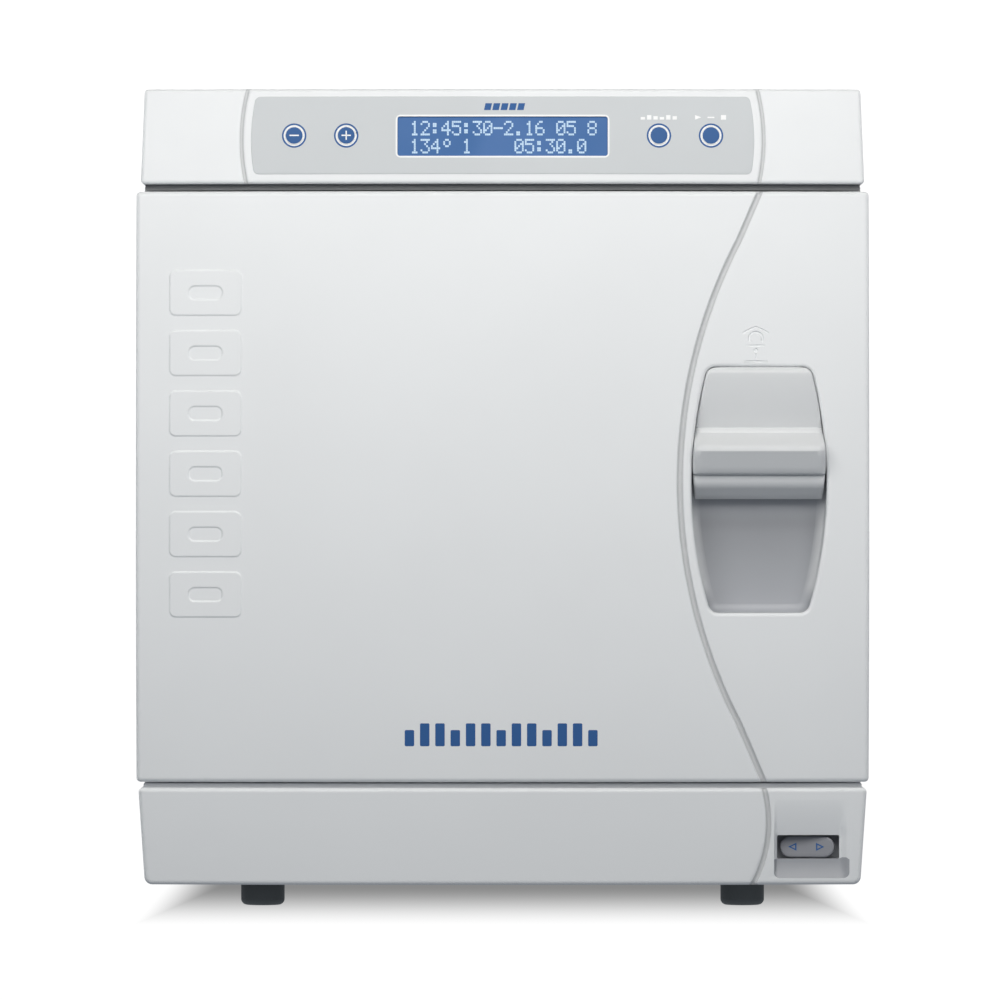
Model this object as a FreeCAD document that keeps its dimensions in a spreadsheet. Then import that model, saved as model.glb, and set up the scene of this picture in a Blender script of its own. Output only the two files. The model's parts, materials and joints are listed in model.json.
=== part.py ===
"""Benchtop steam steriliser: cabinet, pressure chamber, hinged door with a sliding lock, controls.

Frame: X to the right seen from the front, Y to the back, Z up, in millimetres.
The origin is under the middle of the cabinet, on the plane that the feet stand on.
"""
import FreeCAD, Part
import math
import os
import re
import Sketcher
from FreeCAD import Placement, Rotation, Vector

# ---------------------------------------------------------------- driving dimensions

DIMENSIONS = {
    # outside of the cabinet
    "cabinet_width": 425, "cabinet_height": 485, "front_edge": -345, "rear_edge": 345,
    "foot_height": 14.5, "foot_radius": 12.8, "foot_across": 141, "foot_along": 250,
    # the crowned front: an upright arc, swept about a far upright axis
    "front_apex": -338, "front_rise": 1462, "front_bow": 2809, "crown_height": 245,
    "wall": 3.5, "edge_radius": 2.5, "groove_width": 2.5, "groove_depth": 1.3,
    # door cover, hood and lower panel, as heights
    "door_bottom": 74.4, "door_top": 417, "door_rear": -283,
    "hood_bottom": 421.4, "hood_top": 476.7, "hood_rear": -232, "hood_low_width": 420,
    "hood_high_width": 416, "panel_top": 71, "panel_rear": -250, "panel_high_width": 423,
    "panel_low_width": 416,
    # sheet-metal casing
    "sheet": 1.5, "casing_half": 207, "casing_top": 474, "casing_rear": 320, "tray_bottom": 14.5,
    "tray_half": 204.3,
    "frame_front": -279, "frame_thickness": 3, "fascia_front": -281, "fascia_half": 209.2,
    # pressure chamber and its door plate
    "chamber_radius": 125, "chamber_wall": 2, "chamber_depth": 450, "chamber_height": 245,
    "flange_radius": 148, "flange_front": -289, "plate_radius": 142, "plate_front": -300,
    "plate_rear": -292.3, "seal_radius": 131, "seal_half": 8, "seal_rear": -289.3,
    # door carrier, hinge and lock
    "carrier_front": -311, "carrier_rear": -306, "hinge_across": -204, "hinge_along": -308,
    "hinge_low": 117, "hinge_high": 375, "arm_half": 7, "pin_radius": 3, "pin_clearance": 0.05,
    "lock_across": 186, "stud_low": 130, "stud_high": 360, "stud_radius": 5, "head_radius": 8.5,
    "bar_front": -303, "bar_rear": -297, "bar_half": 13, "lock_travel": 24,
    "bolt_height": 215, "bolt_radius": 4,
    # sliding handle and its barrel-shaped recess
    "handle_across": 148.5, "handle_mid": 247, "handle_bottom": 172.7, "handle_top": 315.1,
    "handle_half": 39.2, "barrel_radius": 252, "bowl_wall": 2.5, "bowl_floor": -309.5,
    "handle_corner": 6, "grip_clearance": 1.5,
    # control panel
    "key_height": 449.4, "key_radius": 5, "key_near": 90.7, "key_far": 120.9,
    "window_half": 61, "window_low": 437.5, "window_high": 460.5,
    "membrane_half": 147.5, "membrane_low": 426.8, "membrane_high": 472.1,
    "membrane_thickness": 0.4,
    # mains switch in the lower panel
    "pocket_left": 158.4, "pocket_right": 199.1, "pocket_low": 19.5, "pocket_high": 63.4,
    "switch_across": 177.7, "switch_along": -302.5, "switch_height": 35.8, "switch_tilt": 7,
    # water tank, its lid, and the cooling fan
    "tank_half": 140, "tank_front": -40, "tank_back": 300, "tank_bottom": 400, "tank_top": 469,
    "filler_half": 105, "filler_front": 127, "filler_back": 283, "lid_half": 116,
    "fan_across": 100, "fan_height": 300, "fan_half": 60, "fan_front": 293,
}

doc = FreeCAD.newDocument("BenchSteriliser")
sheet = doc.addObject("Spreadsheet::Sheet", "Sizes")
for row, (alias, number) in enumerate(DIMENSIONS.items(), start=1):
    sheet.set(f"A{row}", alias)
    sheet.set(f"B{row}", str(number))
    sheet.setAlias(f"B{row}", alias)
doc.recompute()

nodes = []

# ---------------------------------------------------------------- helpers


def bound(text):
    """The text as an expression, with each dimension's name pointing at its cell."""
    return re.sub(r"[a-z_]+", lambda word: f"Sizes.{word[0]}" if word[0] in DIMENSIONS else word[0],
                  str(text))


def value(text):
    """The number that the expression gives now."""
    return float(sheet.evalExpression(bound(text)))


def place(thing, where, rotation=Rotation()):
    """Put an object at a point whose three coordinates are expressions."""
    thing.Placement = Placement(Vector(*(value(part) for part in where)), rotation)
    for letter, part in zip("xyz", where):
        thing.setExpression(f"Placement.Base.{letter}", bound(part))
    return thing


ALONG = {"X": Rotation(Vector(0, 1, 0), 90), "Y": Rotation(Vector(1, 0, 0), -90), "Z": Rotation()}


def block(name, low, high):
    """A box from its lowest to its highest corner."""
    box = doc.addObject("Part::Box", name)
    for side, first, last in zip(("Length", "Width", "Height"), low, high):
        box.setExpression(side, bound(f"({last}) - ({first})"))
    return place(box, low)


def rod(name, start, length, radius, along="Y", rotation=None):
    """A cylinder that runs from its start along an axis."""
    cylinder = doc.addObject("Part::Cylinder", name)
    cylinder.setExpression("Radius", bound(radius))
    cylinder.setExpression("Height", bound(length))
    return place(cylinder, start, rotation or ALONG[along])


def fuse(name, *parts):
    union = doc.addObject("Part::MultiFuse", name)
    union.Shapes = list(parts)
    return union


def group(name, *parts):
    """Separate solids that share one node."""
    compound = doc.addObject("Part::Compound", name)
    compound.Links = list(parts)
    return compound


def common(name, *parts):
    overlap = doc.addObject("Part::MultiCommon", name)
    overlap.Shapes = list(parts)
    return overlap


def cut(name, base, *tools):
    difference = doc.addObject("Part::Cut", name)
    difference.Base = base
    difference.Tool = tools[0] if len(tools) == 1 else group(f"{name}_tools", *tools)
    return difference


def fillet(name, base, radius, wanted):
    """Round the edges that the test picks."""
    doc.recompute()
    size = value(radius)
    rounded = doc.addObject("Part::Fillet", name)
    rounded.Base = base
    edges = enumerate(base.Shape.Edges, start=1)
    rounded.Edges = [(index, size, size) for index, edge in edges if wanted(edge)]
    return rounded


def runs_along(axis):
    """A test for straight edges parallel to an axis."""
    def test(edge):
        ends = [vertex.Point for vertex in edge.Vertexes]
        if len(ends) != 2 or not isinstance(edge.Curve, Part.Line):
            return False
        step = (ends[1] - ends[0]).normalize()
        return abs(step.dot(axis)) > 0.999
    return test


def soften(name, base, radius):
    """Round every edge of the crowned front face."""
    doc.recompute()
    crowned = [face for face in base.Shape.Faces if not isinstance(face.Surface, Part.Plane)]
    keys = [edge.hashCode() for face in crowned for edge in face.Edges]
    return fillet(name, base, radius, lambda edge: edge.hashCode() in keys)


def arc_middle(start, end, radius, turn):
    """The middle point of an arc between two points; turn is 1 for counter-clockwise."""
    chord = end - start
    half = chord.Length / 2
    sag = abs(radius) - math.sqrt(radius * radius - half * half)
    side = Vector(chord.y, -chord.x, 0).normalize()
    return start + chord * 0.5 + side * (sag * turn)


def draw(sketch, points):
    """A closed outline. A point is (u, v), or (u, v, radius, turn) where an arc leaves it."""
    spots = [Vector(value(point[0]), value(point[1]), 0) for point in points]
    for index, point in enumerate(points):
        start = spots[index]
        end = spots[(index + 1) % len(spots)]
        if len(point) == 2:
            sketch.addGeometry(Part.LineSegment(start, end))
        else:
            middle = arc_middle(start, end, value(point[2]), point[3])
            sketch.addGeometry(Part.Arc(start, middle, end))
    starts = [1 if len(point) == 2 or point[3] > 0 else 2 for point in points]
    for index, point in enumerate(points):
        follower = (index + 1) % len(points)
        joint = ("Coincident", index, 3 - starts[index], follower, starts[follower])
        sketch.addConstraint(Sketcher.Constraint(*joint))
        for kind, text, spot in (("DistanceX", point[0], spots[index].x),
                                 ("DistanceY", point[1], spots[index].y)):
            number = sketch.addConstraint(Sketcher.Constraint(kind, index, starts[index], spot))
            sketch.setExpression(f"Constraints[{number}]", bound(text))
        if len(point) == 4:
            radius = Sketcher.Constraint("Radius", index, value(point[2]))
            number = sketch.addConstraint(radius)
            sketch.setExpression(f"Constraints[{number}]", bound(point[2]))


FACING = {
    "XY": Rotation(),
    "XZ": Rotation(Vector(1, 0, 0), Vector(0, 0, 1), Vector(0, -1, 0), "ZXY"),
    "YZ": Rotation(Vector(0, 1, 0), Vector(0, 0, 1), Vector(1, 0, 0), "ZXY"),
}
NORMAL = {"XY": Vector(0, 0, 1), "XZ": Vector(0, 1, 0), "YZ": Vector(1, 0, 0)}


def prism(name, plane, points, start, end):
    """An outline in a plane, carried along the plane's normal from start to end."""
    sketch = doc.addObject("Sketcher::SketchObject", f"{name}_outline")
    sketch.Placement = Placement(NORMAL[plane] * value(start), FACING[plane])
    letter = {"XY": "z", "XZ": "y", "YZ": "x"}[plane]
    sketch.setExpression(f"Placement.Base.{letter}", bound(start))
    draw(sketch, points)
    solid = doc.addObject("Part::Extrusion", name)
    solid.Base = sketch
    solid.DirMode = "Custom"
    solid.Dir = NORMAL[plane]
    solid.Solid = True
    solid.setExpression("LengthFwd", bound(f"({end}) - ({start})"))
    return solid


def turned(name, points, where, along="Z"):
    """A body turned on its own Z axis from (radius, height) points, then laid along an axis."""
    body = doc.addObject("PartDesign::Body", name)
    plane = next(item for item in body.Origin.OriginFeatures if item.Role == "XZ_Plane")
    sketch = body.newObject("Sketcher::SketchObject", f"{name}_section")
    sketch.AttachmentSupport = [(plane, "")]
    sketch.MapMode = "FlatFace"
    draw(sketch, points)
    turn = body.newObject("PartDesign::Revolution", f"{name}_turn")
    turn.Profile = sketch
    turn.ReferenceAxis = (sketch, ["V_Axis"])
    turn.Angle = 360
    body.Tip = turn
    return place(body, where, ALONG[along])


def pipe(name, corners, radius, bend):
    """A bent tube's outside: straight runs joined by arcs of one bend radius."""
    points = [Vector(*(value(part) for part in corner)) for corner in corners]
    size = value(bend)
    edges = []
    last = points[0]
    for before, corner, after in zip(points, points[1:], points[2:]):
        inward = (before - corner).normalize()
        outward = (after - corner).normalize()
        half_turn = (math.pi - inward.getAngle(outward)) / 2
        reach = size * math.tan(half_turn)
        middle = corner + (inward + outward).normalize() * (size / math.cos(half_turn) - size)
        first = corner + inward * reach
        second = corner + outward * reach
        edges.append(Part.LineSegment(last, first).toShape())
        edges.append(Part.Arc(first, middle, second).toShape())
        last = second
    edges.append(Part.LineSegment(last, points[-1]).toShape())
    ring = Part.Circle(points[0], points[1] - points[0], value(radius)).toShape()
    tube = doc.addObject("Part::Feature", name)
    tube.Shape = Part.Wire(edges).makePipeShell([Part.Wire([ring])], True, True)
    return tube


def node(label, thing):
    """Name a finished sub-part, which also names its file."""
    thing.Label = label
    nodes.append((label, thing))
    return thing


# ---------------------------------------------------------------- the crowned front


def front_along(height, inset="0", across="0"):
    """Y of the crowned front at a height and a distance across, moved in by an inset."""
    middle = (f"(front_apex + front_rise - sqrt((front_rise - ({inset}))^2"
              f" - (({height}) - crown_height)^2))")
    return f"(front_apex + front_bow - sqrt((front_apex + front_bow - {middle})^2 - ({across})^2))"


def behind_front(name, inset):
    """Everything behind the crowned front, moved in by an inset."""
    low = "0 - 20"
    high = "cabinet_height + 20"
    sketch = doc.addObject("Sketcher::SketchObject", f"{name}_outline")
    sketch.Placement = Placement(Vector(), FACING["YZ"])
    draw(sketch, [(front_along(low, inset), low, f"front_rise - ({inset})", -1),
                  (front_along(high, inset), high), ("hood_rear + 5", high), ("hood_rear + 5", low)])
    solid = doc.addObject("Part::Revolution", name)
    solid.Source = sketch
    solid.Axis = Vector(0, 0, 1)
    solid.setExpression("Base.y", bound("front_apex + front_bow"))
    solid.Angle = 14
    solid.Symmetric = True
    solid.Solid = True
    return solid


front = behind_front("front_surface", "0")
front_inside = behind_front("front_inner_surface", "wall")
groove_floor = behind_front("groove_floor", "groove_depth")


def arc_band(name, across, height, radius, low_angle, high_angle):
    """A thin upright band on an arc about (across, height), right through the front wall."""
    rings = []
    for part, half in (("outer", "groove_width / 2"), ("inner", "0 - groove_width / 2")):
        ring = rod(f"{name}_{part}", (across, "front_edge", height), "80", f"({radius}) + {half}",
                   rotation=ALONG["Y"] * Rotation(Vector(0, 0, 1), -high_angle))
        ring.Angle = high_angle - low_angle
        rings.append(ring)
    return cut(f"{name}_band", *rings)


def groove(name, *bands):
    """The part of each band that is near the front surface."""
    band = bands[0] if len(bands) == 1 else fuse(f"{name}_bands", *bands)
    return cut(name, band, groove_floor)


def barrel(name, inset, front_y, rear_y, low="handle_bottom", high="handle_top"):
    """The handle recess: two shallow side arcs between a flat top and bottom, corners rounded."""
    offset = f"(barrel_radius - handle_half)"
    sides = [rod(f"{name}_{side}", (f"handle_across {sign} {offset}", front_y, "handle_mid"),
                 f"({rear_y}) - ({front_y})", f"barrel_radius - ({inset})")
             for side, sign in (("left", "+"), ("right", "-"))]
    slab = block(f"{name}_slab", ("handle_across - 60", front_y, f"({low}) + ({inset})"),
                 ("handle_across + 60", rear_y, f"({high}) - ({inset})"))
    sharp = common(f"{name}_sharp", *sides, slab)
    return fillet(name, sharp, f"handle_corner - ({inset})", runs_along(Vector(0, 1, 0)))


# ---------------------------------------------------------------- door mouldings

door_block = block("door_block", ("0 - cabinet_width / 2", "front_edge", "door_bottom"),
                   ("cabinet_width / 2", "door_rear", "door_top"))
door_solid = soften("door_solid", common("door_crown", front, door_block), "edge_radius")
door_space = block("door_space", ("wall - cabinet_width / 2", "front_edge", "door_bottom + wall"),
                   ("cabinet_width / 2 - wall", "door_rear + 5", "door_top - wall"))
door_hollow = common("door_hollow", front_inside, door_space)
opening = barrel("handle_opening", "0", "front_edge - 5", "door_rear")

# the dividing line: an arc, straight towards its two ends
line_radius, line_across, line_height, line_sweep = 302.3, 404.9, 248.3, 27.5
line_arc = arc_band("door_line", str(line_across), str(line_height), str(line_radius),
                    180 - line_sweep, 180 + line_sweep)
line_ends = []
for part, sign in (("top", 1), ("bottom", -1)):
    lean = math.radians(line_sweep)
    foot = Vector(line_across - line_radius * math.cos(lean), 0,
                  line_height + sign * line_radius * math.sin(lean))
    end = doc.addObject("Part::Box", f"door_line_{part}")
    end.Length = 50
    end.Width = 80
    end.setExpression("Height", bound("groove_width"))
    turn = Rotation(Vector(0, 1, 0), -sign * (90 - line_sweep + 4))
    shift = turn.multVec(Vector(0, 0, -value("groove_width") / 2))
    end.Placement = Placement(foot + shift + Vector(0, value("front_edge"), 0), turn)
    line_ends.append(end)
door_groove = groove("door_groove", line_arc, *line_ends)

notches = [block(f"hinge_notch_{part}", ("0 - cabinet_width / 2 - 1", "hinge_along - 14",
                                         f"{height} - 12.5"),
                 ("hinge_across + 9", "door_rear + 1", f"{height} + 12.5"))
           for part, height in (("low", "hinge_low"), ("high", "hinge_high"))]
node("door_cover", cut("door_shell", door_solid, door_hollow, opening, door_groove, *notches))

bowl_outside = common("bowl_outside", front_inside,
                      barrel("bowl_outer", "0 - bowl_wall", "front_edge", "bowl_floor + bowl_wall"))
stem_slot = block("stem_slot", ("handle_across - 9", "bowl_floor - 1", "handle_mid - 6"),
                  ("handle_across + 9", "carrier_rear", "handle_mid + 45.5"))
node("handle_bowl", cut("bowl", bowl_outside, barrel("bowl_inner", "0", "front_edge", "bowl_floor"),
                        stem_slot))

# ---------------------------------------------------------------- door structure

hinges = (("low", "hinge_low"), ("high", "hinge_high"))
studs = (("low", "stud_low"), ("high", "stud_high"))

inner_sheet = block("inner_sheet", ("wall + 0.2 - cabinet_width / 2", "door_rear - 3",
                                    "door_bottom + wall + 0.2"),
                    ("cabinet_width / 2 - wall - 0.2", "door_rear", "door_top - wall - 0.2"))
inner_holes = [rod(f"inner_stud_hole_{part}", ("lock_across", "door_rear - 4", height), "5",
                   "head_radius + 2") for part, height in studs]
inner_holes.append(rod("inner_plate_hole", ("0", "door_rear - 4", "chamber_height"), "5",
                       "flange_radius + 6"))
inner_holes.append(block("inner_tab_slot", ("lock_across - 7", "door_rear - 4", "bolt_height - 27"),
                         ("lock_across + 7", "door_rear + 1", "bolt_height + 21")))
node("door_inner_cover", cut("inner_cover", inner_sheet, *inner_holes, *notches))

carrier_plate = block("carrier_plate", ("0 - 190", "carrier_front", "90"),
                      ("206", "carrier_rear", "400"))
ears = []
for part, height in hinges:
    for side, shift in (("below", "0 - 11.5"), ("above", "7.3")):
        tongue = block(f"ear_{part}_{side}", ("hinge_across", "hinge_along - 4.5",
                                              f"{height} + {shift}"),
                       ("0 - 186", "hinge_along + 4.5", f"{height} + {shift} + 4.2"))
        knuckle = rod(f"knuckle_{part}_{side}", ("hinge_across", "hinge_along",
                                                 f"{height} + {shift}"), "4.2", "4.5", "Z")
        ears += [tongue, knuckle]
carrier_holes = [rod(f"carrier_stud_hole_{part}", ("lock_across", "carrier_front - 1", height),
                     "8", "head_radius + 3") for part, height in studs]
carrier_holes += [rod(f"carrier_pin_hole_{part}", ("hinge_across", "hinge_along", f"{height} - 20"),
                      "40", "pin_radius", "Z") for part, height in hinges]
carrier_holes.append(block("carrier_window", ("104", "carrier_front - 1", "166"),
                           ("193", "carrier_rear + 1", "321")))
node("door_carrier", cut("carrier", fuse("carrier_solid", carrier_plate, *ears), *carrier_holes))

node("hinge_pins", group("pins", *[rod(f"pin_{part}", ("hinge_across", "hinge_along",
                                                       f"{height} - 12"), "24", "pin_radius", "Z")
                                   for part, height in hinges]))

node("door_hub", turned("hub", [("0", "0"), ("22", "0"), ("22", "3"), ("14", "6"), ("0", "6")],
                        ("0", "carrier_rear", "chamber_height"), "Y"))
plate_depth = "(plate_rear - plate_front)"
node("door_plate", turned("plate", [
    ("0", "0"), ("plate_radius", "0"), ("plate_radius", plate_depth),
    ("seal_radius + seal_half", plate_depth), ("seal_radius + seal_half", "3.7"),
    ("seal_radius - seal_half", "3.7"), ("seal_radius - seal_half", plate_depth),
    ("110", plate_depth), ("104", f"{plate_depth} - 2.5"), ("0", f"{plate_depth} - 2.5")],
    ("0", "plate_front", "chamber_height"), "Y"))
seal_depth = "(seal_rear - plate_front - 3.7)"
node("door_seal", turned("seal", [
    ("seal_radius - seal_half", "0"), ("seal_radius + seal_half", "0"),
    ("seal_radius + seal_half", "4"), ("seal_radius + 4", seal_depth),
    ("seal_radius - 4", seal_depth), ("seal_radius - seal_half", "4")],
    ("0", "plate_front + 3.7", "chamber_height"), "Y"))

guides = []
for part, low in (("low", "150"), ("high", "322")):
    saddle = block(f"guide_{part}", ("168", "carrier_rear", low), ("204", "bar_rear + 3.5",
                                                                   f"{low} + 16"))
    channel = block(f"guide_channel_{part}", ("lock_across - bar_half - 0.4", "bar_front - 0.4",
                                              f"{low} - 1"),
                    ("lock_across + bar_half + 0.4", "bar_rear + 0.4", f"{low} + 17"))
    guides.append(cut(f"guide_cut_{part}", saddle, channel))
node("bar_guides", group("guides", *guides))

# ---------------------------------------------------------------- sliding handle and lock bar

grip_outline = [
    ("0 - 331.5", "313.9"), ("0 - 333", "312.4", "100", 1), ("0 - 327", "279"),
    ("0 - 329", "277.6"), ("0 - 342.4", "270.6", "4", 1), ("0 - 344.8", "266.2"),
    ("0 - 336.4", "253.4"), ("0 - 332.4", "252.4"), ("0 - 332.8", "250.6"), ("0 - 331.2", "246.6"),
    ("0 - 327", "243.6"), ("0 - 314", "243.6"), ("0 - 314", "313.9")]
grip_bar = prism("grip_bar", "YZ", grip_outline, "handle_across - 50", "handle_across + 50")
grip_side = barrel("grip_side", "grip_clearance", "front_edge - 5", "carrier_front")
stem = block("grip_stem", ("handle_across - 4", "0 - 315", "272"),
             ("handle_across + 7.5", "bar_front", "290"))
node("slider_grip", fuse("grip", common("grip_face", grip_bar, grip_side), stem))

bar_parts = [
    block("bar_upright", ("lock_across - bar_half", "bar_front", "113"),
          ("lock_across + bar_half", "bar_rear", "403")),
    block("bar_arm", ("handle_across - 4", "bar_front", "272"),
          ("lock_across", "bar_rear", "290")),
    block("bar_tab", ("lock_across - 5", "bar_front", "bolt_height + 6"),
          ("lock_across + 5", "door_rear - 1", "bolt_height + 18"))]
keyholes = []
for part, height in studs:
    keyholes.append(rod(f"keyhole_{part}", ("lock_across", "bar_front - 1", height), "8",
                        "head_radius + 1.5"))
    keyholes.append(block(f"keyslot_{part}", ("lock_across - stud_radius - 0.5", "bar_front - 1",
                                              height),
                          ("lock_across + stud_radius + 0.5", "bar_rear + 1",
                           f"{height} + lock_travel")))
    keyholes.append(rod(f"keyslot_end_{part}", ("lock_across", "bar_front - 1",
                                                f"{height} + lock_travel"), "8",
                        "stud_radius + 0.5"))
node("locking_bar", cut("bar", fuse("bar_solid", *bar_parts), *keyholes))

# ---------------------------------------------------------------- hood and lower panel


def tapered(name, low, high, low_width, high_width, rear):
    """A moulding outline that narrows upwards or downwards, behind the crowned front."""
    outline = [(f"0 - {low_width} / 2", low), (f"{low_width} / 2", low),
               (f"{high_width} / 2", high), (f"0 - {high_width} / 2", high)]
    return common(f"{name}_crown", front, prism(f"{name}_slab", "XZ", outline, "front_edge", rear))


def key_tilt():
    """Lean of the crowned front at the keys, in degrees."""
    return math.degrees(math.asin(value("(key_height - crown_height) / front_rise")))


def key_rod(name, across, start, length, radius):
    """A rod square to the front at a key, starting a distance behind the surface."""
    lean = key_tilt()
    depth = f"{front_along('key_height', '0', across)} + ({start}) * cos({lean})"
    height = f"key_height - ({start}) * sin({lean})"
    return rod(name, (across, depth, height), length, radius,
               rotation=Rotation(Vector(1, 0, 0), -90 - lean))


keys = (("minus", "0 - key_far"), ("plus", "0 - key_near"),
        ("program", "key_near"), ("start", "key_far"))

hood_solid = soften("hood_solid", tapered("hood", "hood_bottom", "hood_top", "hood_low_width",
                                          "hood_high_width", "hood_rear"), "2")
hood_hollow = common("hood_hollow", front_inside, block(
    "hood_space", ("wall - hood_high_width / 2", "front_edge", "hood_bottom + wall"),
    ("hood_high_width / 2 - wall", "hood_rear + 1", "hood_top - wall")))
hood_underside = block("hood_underside", ("wall - hood_high_width / 2", "door_rear - 0.5",
                                          "hood_bottom - 1"),
                       ("hood_high_width / 2 - wall", "hood_rear + 1", "hood_bottom + wall + 1"))
window_hole = block("window_hole", ("0 - window_half", "front_edge", "window_low"),
                    ("window_half", "front_apex + 30", "window_high"))
key_holes = [key_rod(f"key_hole_{part}", across, "0 - 3", "12", "key_radius + 0.4")
             for part, across in keys]
hood_lines = [groove(f"hood_groove_{side}", arc_band(f"hood_line_{side}", across, "447", "120",
                                                     low, high))
              for side, across, low, high in (("left", "0 - 31.5", 160, 200),
                                              ("right", "31.5", -20, 20))]
node("front_hood", cut("hood", hood_solid, hood_hollow, hood_underside, window_hole, *key_holes,
                       *hood_lines))

membrane_front = behind_front("membrane_front", "0 - membrane_thickness")
membrane_block = fillet("membrane_block", block(
    "membrane_slab", ("0 - membrane_half", "front_edge", "membrane_low"),
    ("membrane_half", "front_apex + 40", "membrane_high")), "4", runs_along(Vector(0, 1, 0)))
membrane_sheet = cut("membrane_sheet", common("membrane_skin", membrane_front, membrane_block), front)
node("control_membrane", cut("membrane", membrane_sheet, window_hole, *key_holes))

window_block = block("window_block", ("0.2 - window_half", "front_edge", "window_low + 0.2"),
                     ("window_half - 0.2", "front_apex + 40", "window_high - 0.2"))
window_front = behind_front("window_front", "0.3")
window_back = behind_front("window_back", "2.5")
node("display_window", cut("window", common("window_slab", window_front, window_block), window_back))

for part, across in keys:
    cap = key_rod(f"cap_{part}", across, "0 - 0.7", "5.2", "key_radius")
    collar = key_rod(f"collar_{part}", across, "wall + 0.8", "1.6", "key_radius + 1.5")
    node(f"key_{part}", fuse(f"key_solid_{part}", cap, collar))

node("display_module", fuse("module", block("module_board", ("0 - 135", "0 - 302", "432"),
                                            ("135", "0 - 300.4", "466")),
                            block("module_screen", ("2 - window_half", "0 - 317", "window_low + 2"),
                                  ("window_half - 2", "0 - 302", "window_high - 2"))))

panel_solid = soften("panel_solid", tapered("panel", "tray_bottom", "panel_top", "panel_low_width",
                                            "panel_high_width", "panel_rear"), "edge_radius")
panel_hollow = common("panel_hollow", front_inside, block(
    "panel_space", ("wall - panel_low_width / 2", "front_edge", "tray_bottom + wall"),
    ("panel_low_width / 2 - wall", "panel_rear + 1", "panel_top - wall")))
panel_underside = block("panel_underside", ("wall - panel_low_width / 2", "frame_front - 2",
                                            "tray_bottom - 1"),
                        ("panel_low_width / 2 - wall", "panel_rear + 1", "panel_top + 1"))
panel_line = groove("panel_groove", arc_band("panel_line", "78.4", "50.6", "76", -35, 35))
pocket_mouth = block("pocket_mouth", ("pocket_left", "front_edge", "pocket_low"),
                     ("pocket_right", "frame_front - 10", "pocket_high"))
node("lower_front_panel", cut("panel", panel_solid, panel_hollow, panel_underside, panel_line,
                              pocket_mouth))

# ---------------------------------------------------------------- mains switch

pocket_block = common("pocket_block", front_inside, block(
    "pocket_slab", ("pocket_left - 1.5", "front_edge", "pocket_low - 1.4"),
    ("pocket_right + 1.5", "0 - 296", "pocket_high + 1.5")))
pocket_scoop = prism("pocket_scoop", "YZ", [
    ("front_edge", "pocket_high"), ("0 - 320", "pocket_high"), ("0 - 311.6", "44.5"),
    ("0 - 311.6", "28.5"), ("0 - 318", "pocket_low"), ("front_edge", "pocket_low")],
                     "pocket_left", "pocket_right")
rocker_slot = block("rocker_slot", ("switch_across - 17.5", "0 - 313", "switch_height - 7.3"),
                    ("switch_across + 17.5", "0 - 298", "switch_height + 7.3"))
rocker_bore = rod("rocker_bore", ("switch_across", "switch_along", "switch_height - 9"), "18",
                  "1.5 + pin_clearance", "Z")
node("switch_pocket", cut("pocket", pocket_block, pocket_scoop, rocker_slot, rocker_bore))

rocker_body = prism("rocker_body", "XY", [
    ("0 - 16.4", "0 - 7"), ("0 - 1", "0 - 5.8"), ("1", "0 - 5.8"), ("16.4", "0 - 7"),
    ("16.4", "0 - 3"), ("4", "3"), ("0 - 4", "3"), ("0 - 16.4", "0 - 3")], "0 - 6.8", "6.8")
rocker_pin = rod("rocker_pin", ("0", "0", "0 - 8.8"), "17.6", "1.5", "Z")
rocker = fuse("rocker_solid", rocker_body, rocker_pin)
node("rocker", place(rocker, ("switch_across", "switch_along", "switch_height"),
                     Rotation(Vector(0, 0, 1), -value("switch_tilt"))))

# ---------------------------------------------------------------- casing

tray_outside = block("tray_outside", ("0 - tray_half", "frame_front + frame_thickness",
                                      "tray_bottom"),
                     ("tray_half", "casing_rear - sheet", "tray_bottom + 24"))
tray_inside = block("tray_inside", ("sheet - tray_half", "frame_front + frame_thickness + sheet",
                                    "tray_bottom + 2"),
                    ("tray_half - sheet", "casing_rear - 2 * sheet", "tray_bottom + 25"))
foot_spots = [(f"{side} * foot_across", f"{end} * foot_along") for side in (-1, 1) for end in (-1, 1)]
foot_holes = [rod(f"foot_hole_{index}", (across, along, "tray_bottom - 1"), "4", "3.2", "Z")
              for index, (across, along) in enumerate(foot_spots)]
vent_holes = [block(f"base_vent_{index}", (f"0 - 60 + {index} * 12", "40", "tray_bottom - 1"),
                    (f"0 - 56 + {index} * 12", "110", "tray_bottom + 3")) for index in range(10)]
node("base_chassis", cut("tray", tray_outside, tray_inside, *foot_holes, *vent_holes))

for side, sign in (("left", -1), ("right", 1)):
    inner, outer = sorted((f"{sign} * (casing_half - sheet)", f"{sign} * casing_half"), key=value)
    skin = block(f"side_skin_{side}", (inner, "frame_front", "tray_bottom"),
                 (outer, "casing_rear", "casing_top - sheet - 0.2"))
    hood_notch = block(f"hood_notch_{side}", (inner, "frame_front - 1", "door_top + 3.5"),
                       (outer, "hood_rear + 0.5", "casing_top"))
    panel_notch = block(f"panel_notch_{side}", (inner, "frame_front - 1", "0"),
                        (outer, "panel_rear + 0.5", "panel_top + 0.5"))
    louvres = [block(f"louvre_{side}_{index}", (inner, "190", f"90 + {index} * 11"),
                     (outer, "280", f"94 + {index} * 11")) for index in range(9)]
    node(f"side_cover_{side}", cut(f"side_{side}", skin, hood_notch, panel_notch, *louvres))

top_skin = fillet("top_skin", block("top_slab", ("0 - casing_half", "hood_rear + 0.5",
                                                 "casing_top - sheet"),
                                    ("casing_half", "casing_rear", "casing_top")), "1",
                  lambda edge: runs_along(Vector(0, 1, 0))(edge)
                  and edge.BoundBox.ZMin > value("casing_top") - 0.1)
filler_hole = block("filler_hole", ("0 - filler_half - 5", "filler_front - 5", "casing_top - 5"),
                    ("filler_half + 5", "filler_back + 5", "casing_top + 1"))
node("top_cover", cut("top", top_skin, filler_hole))

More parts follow.
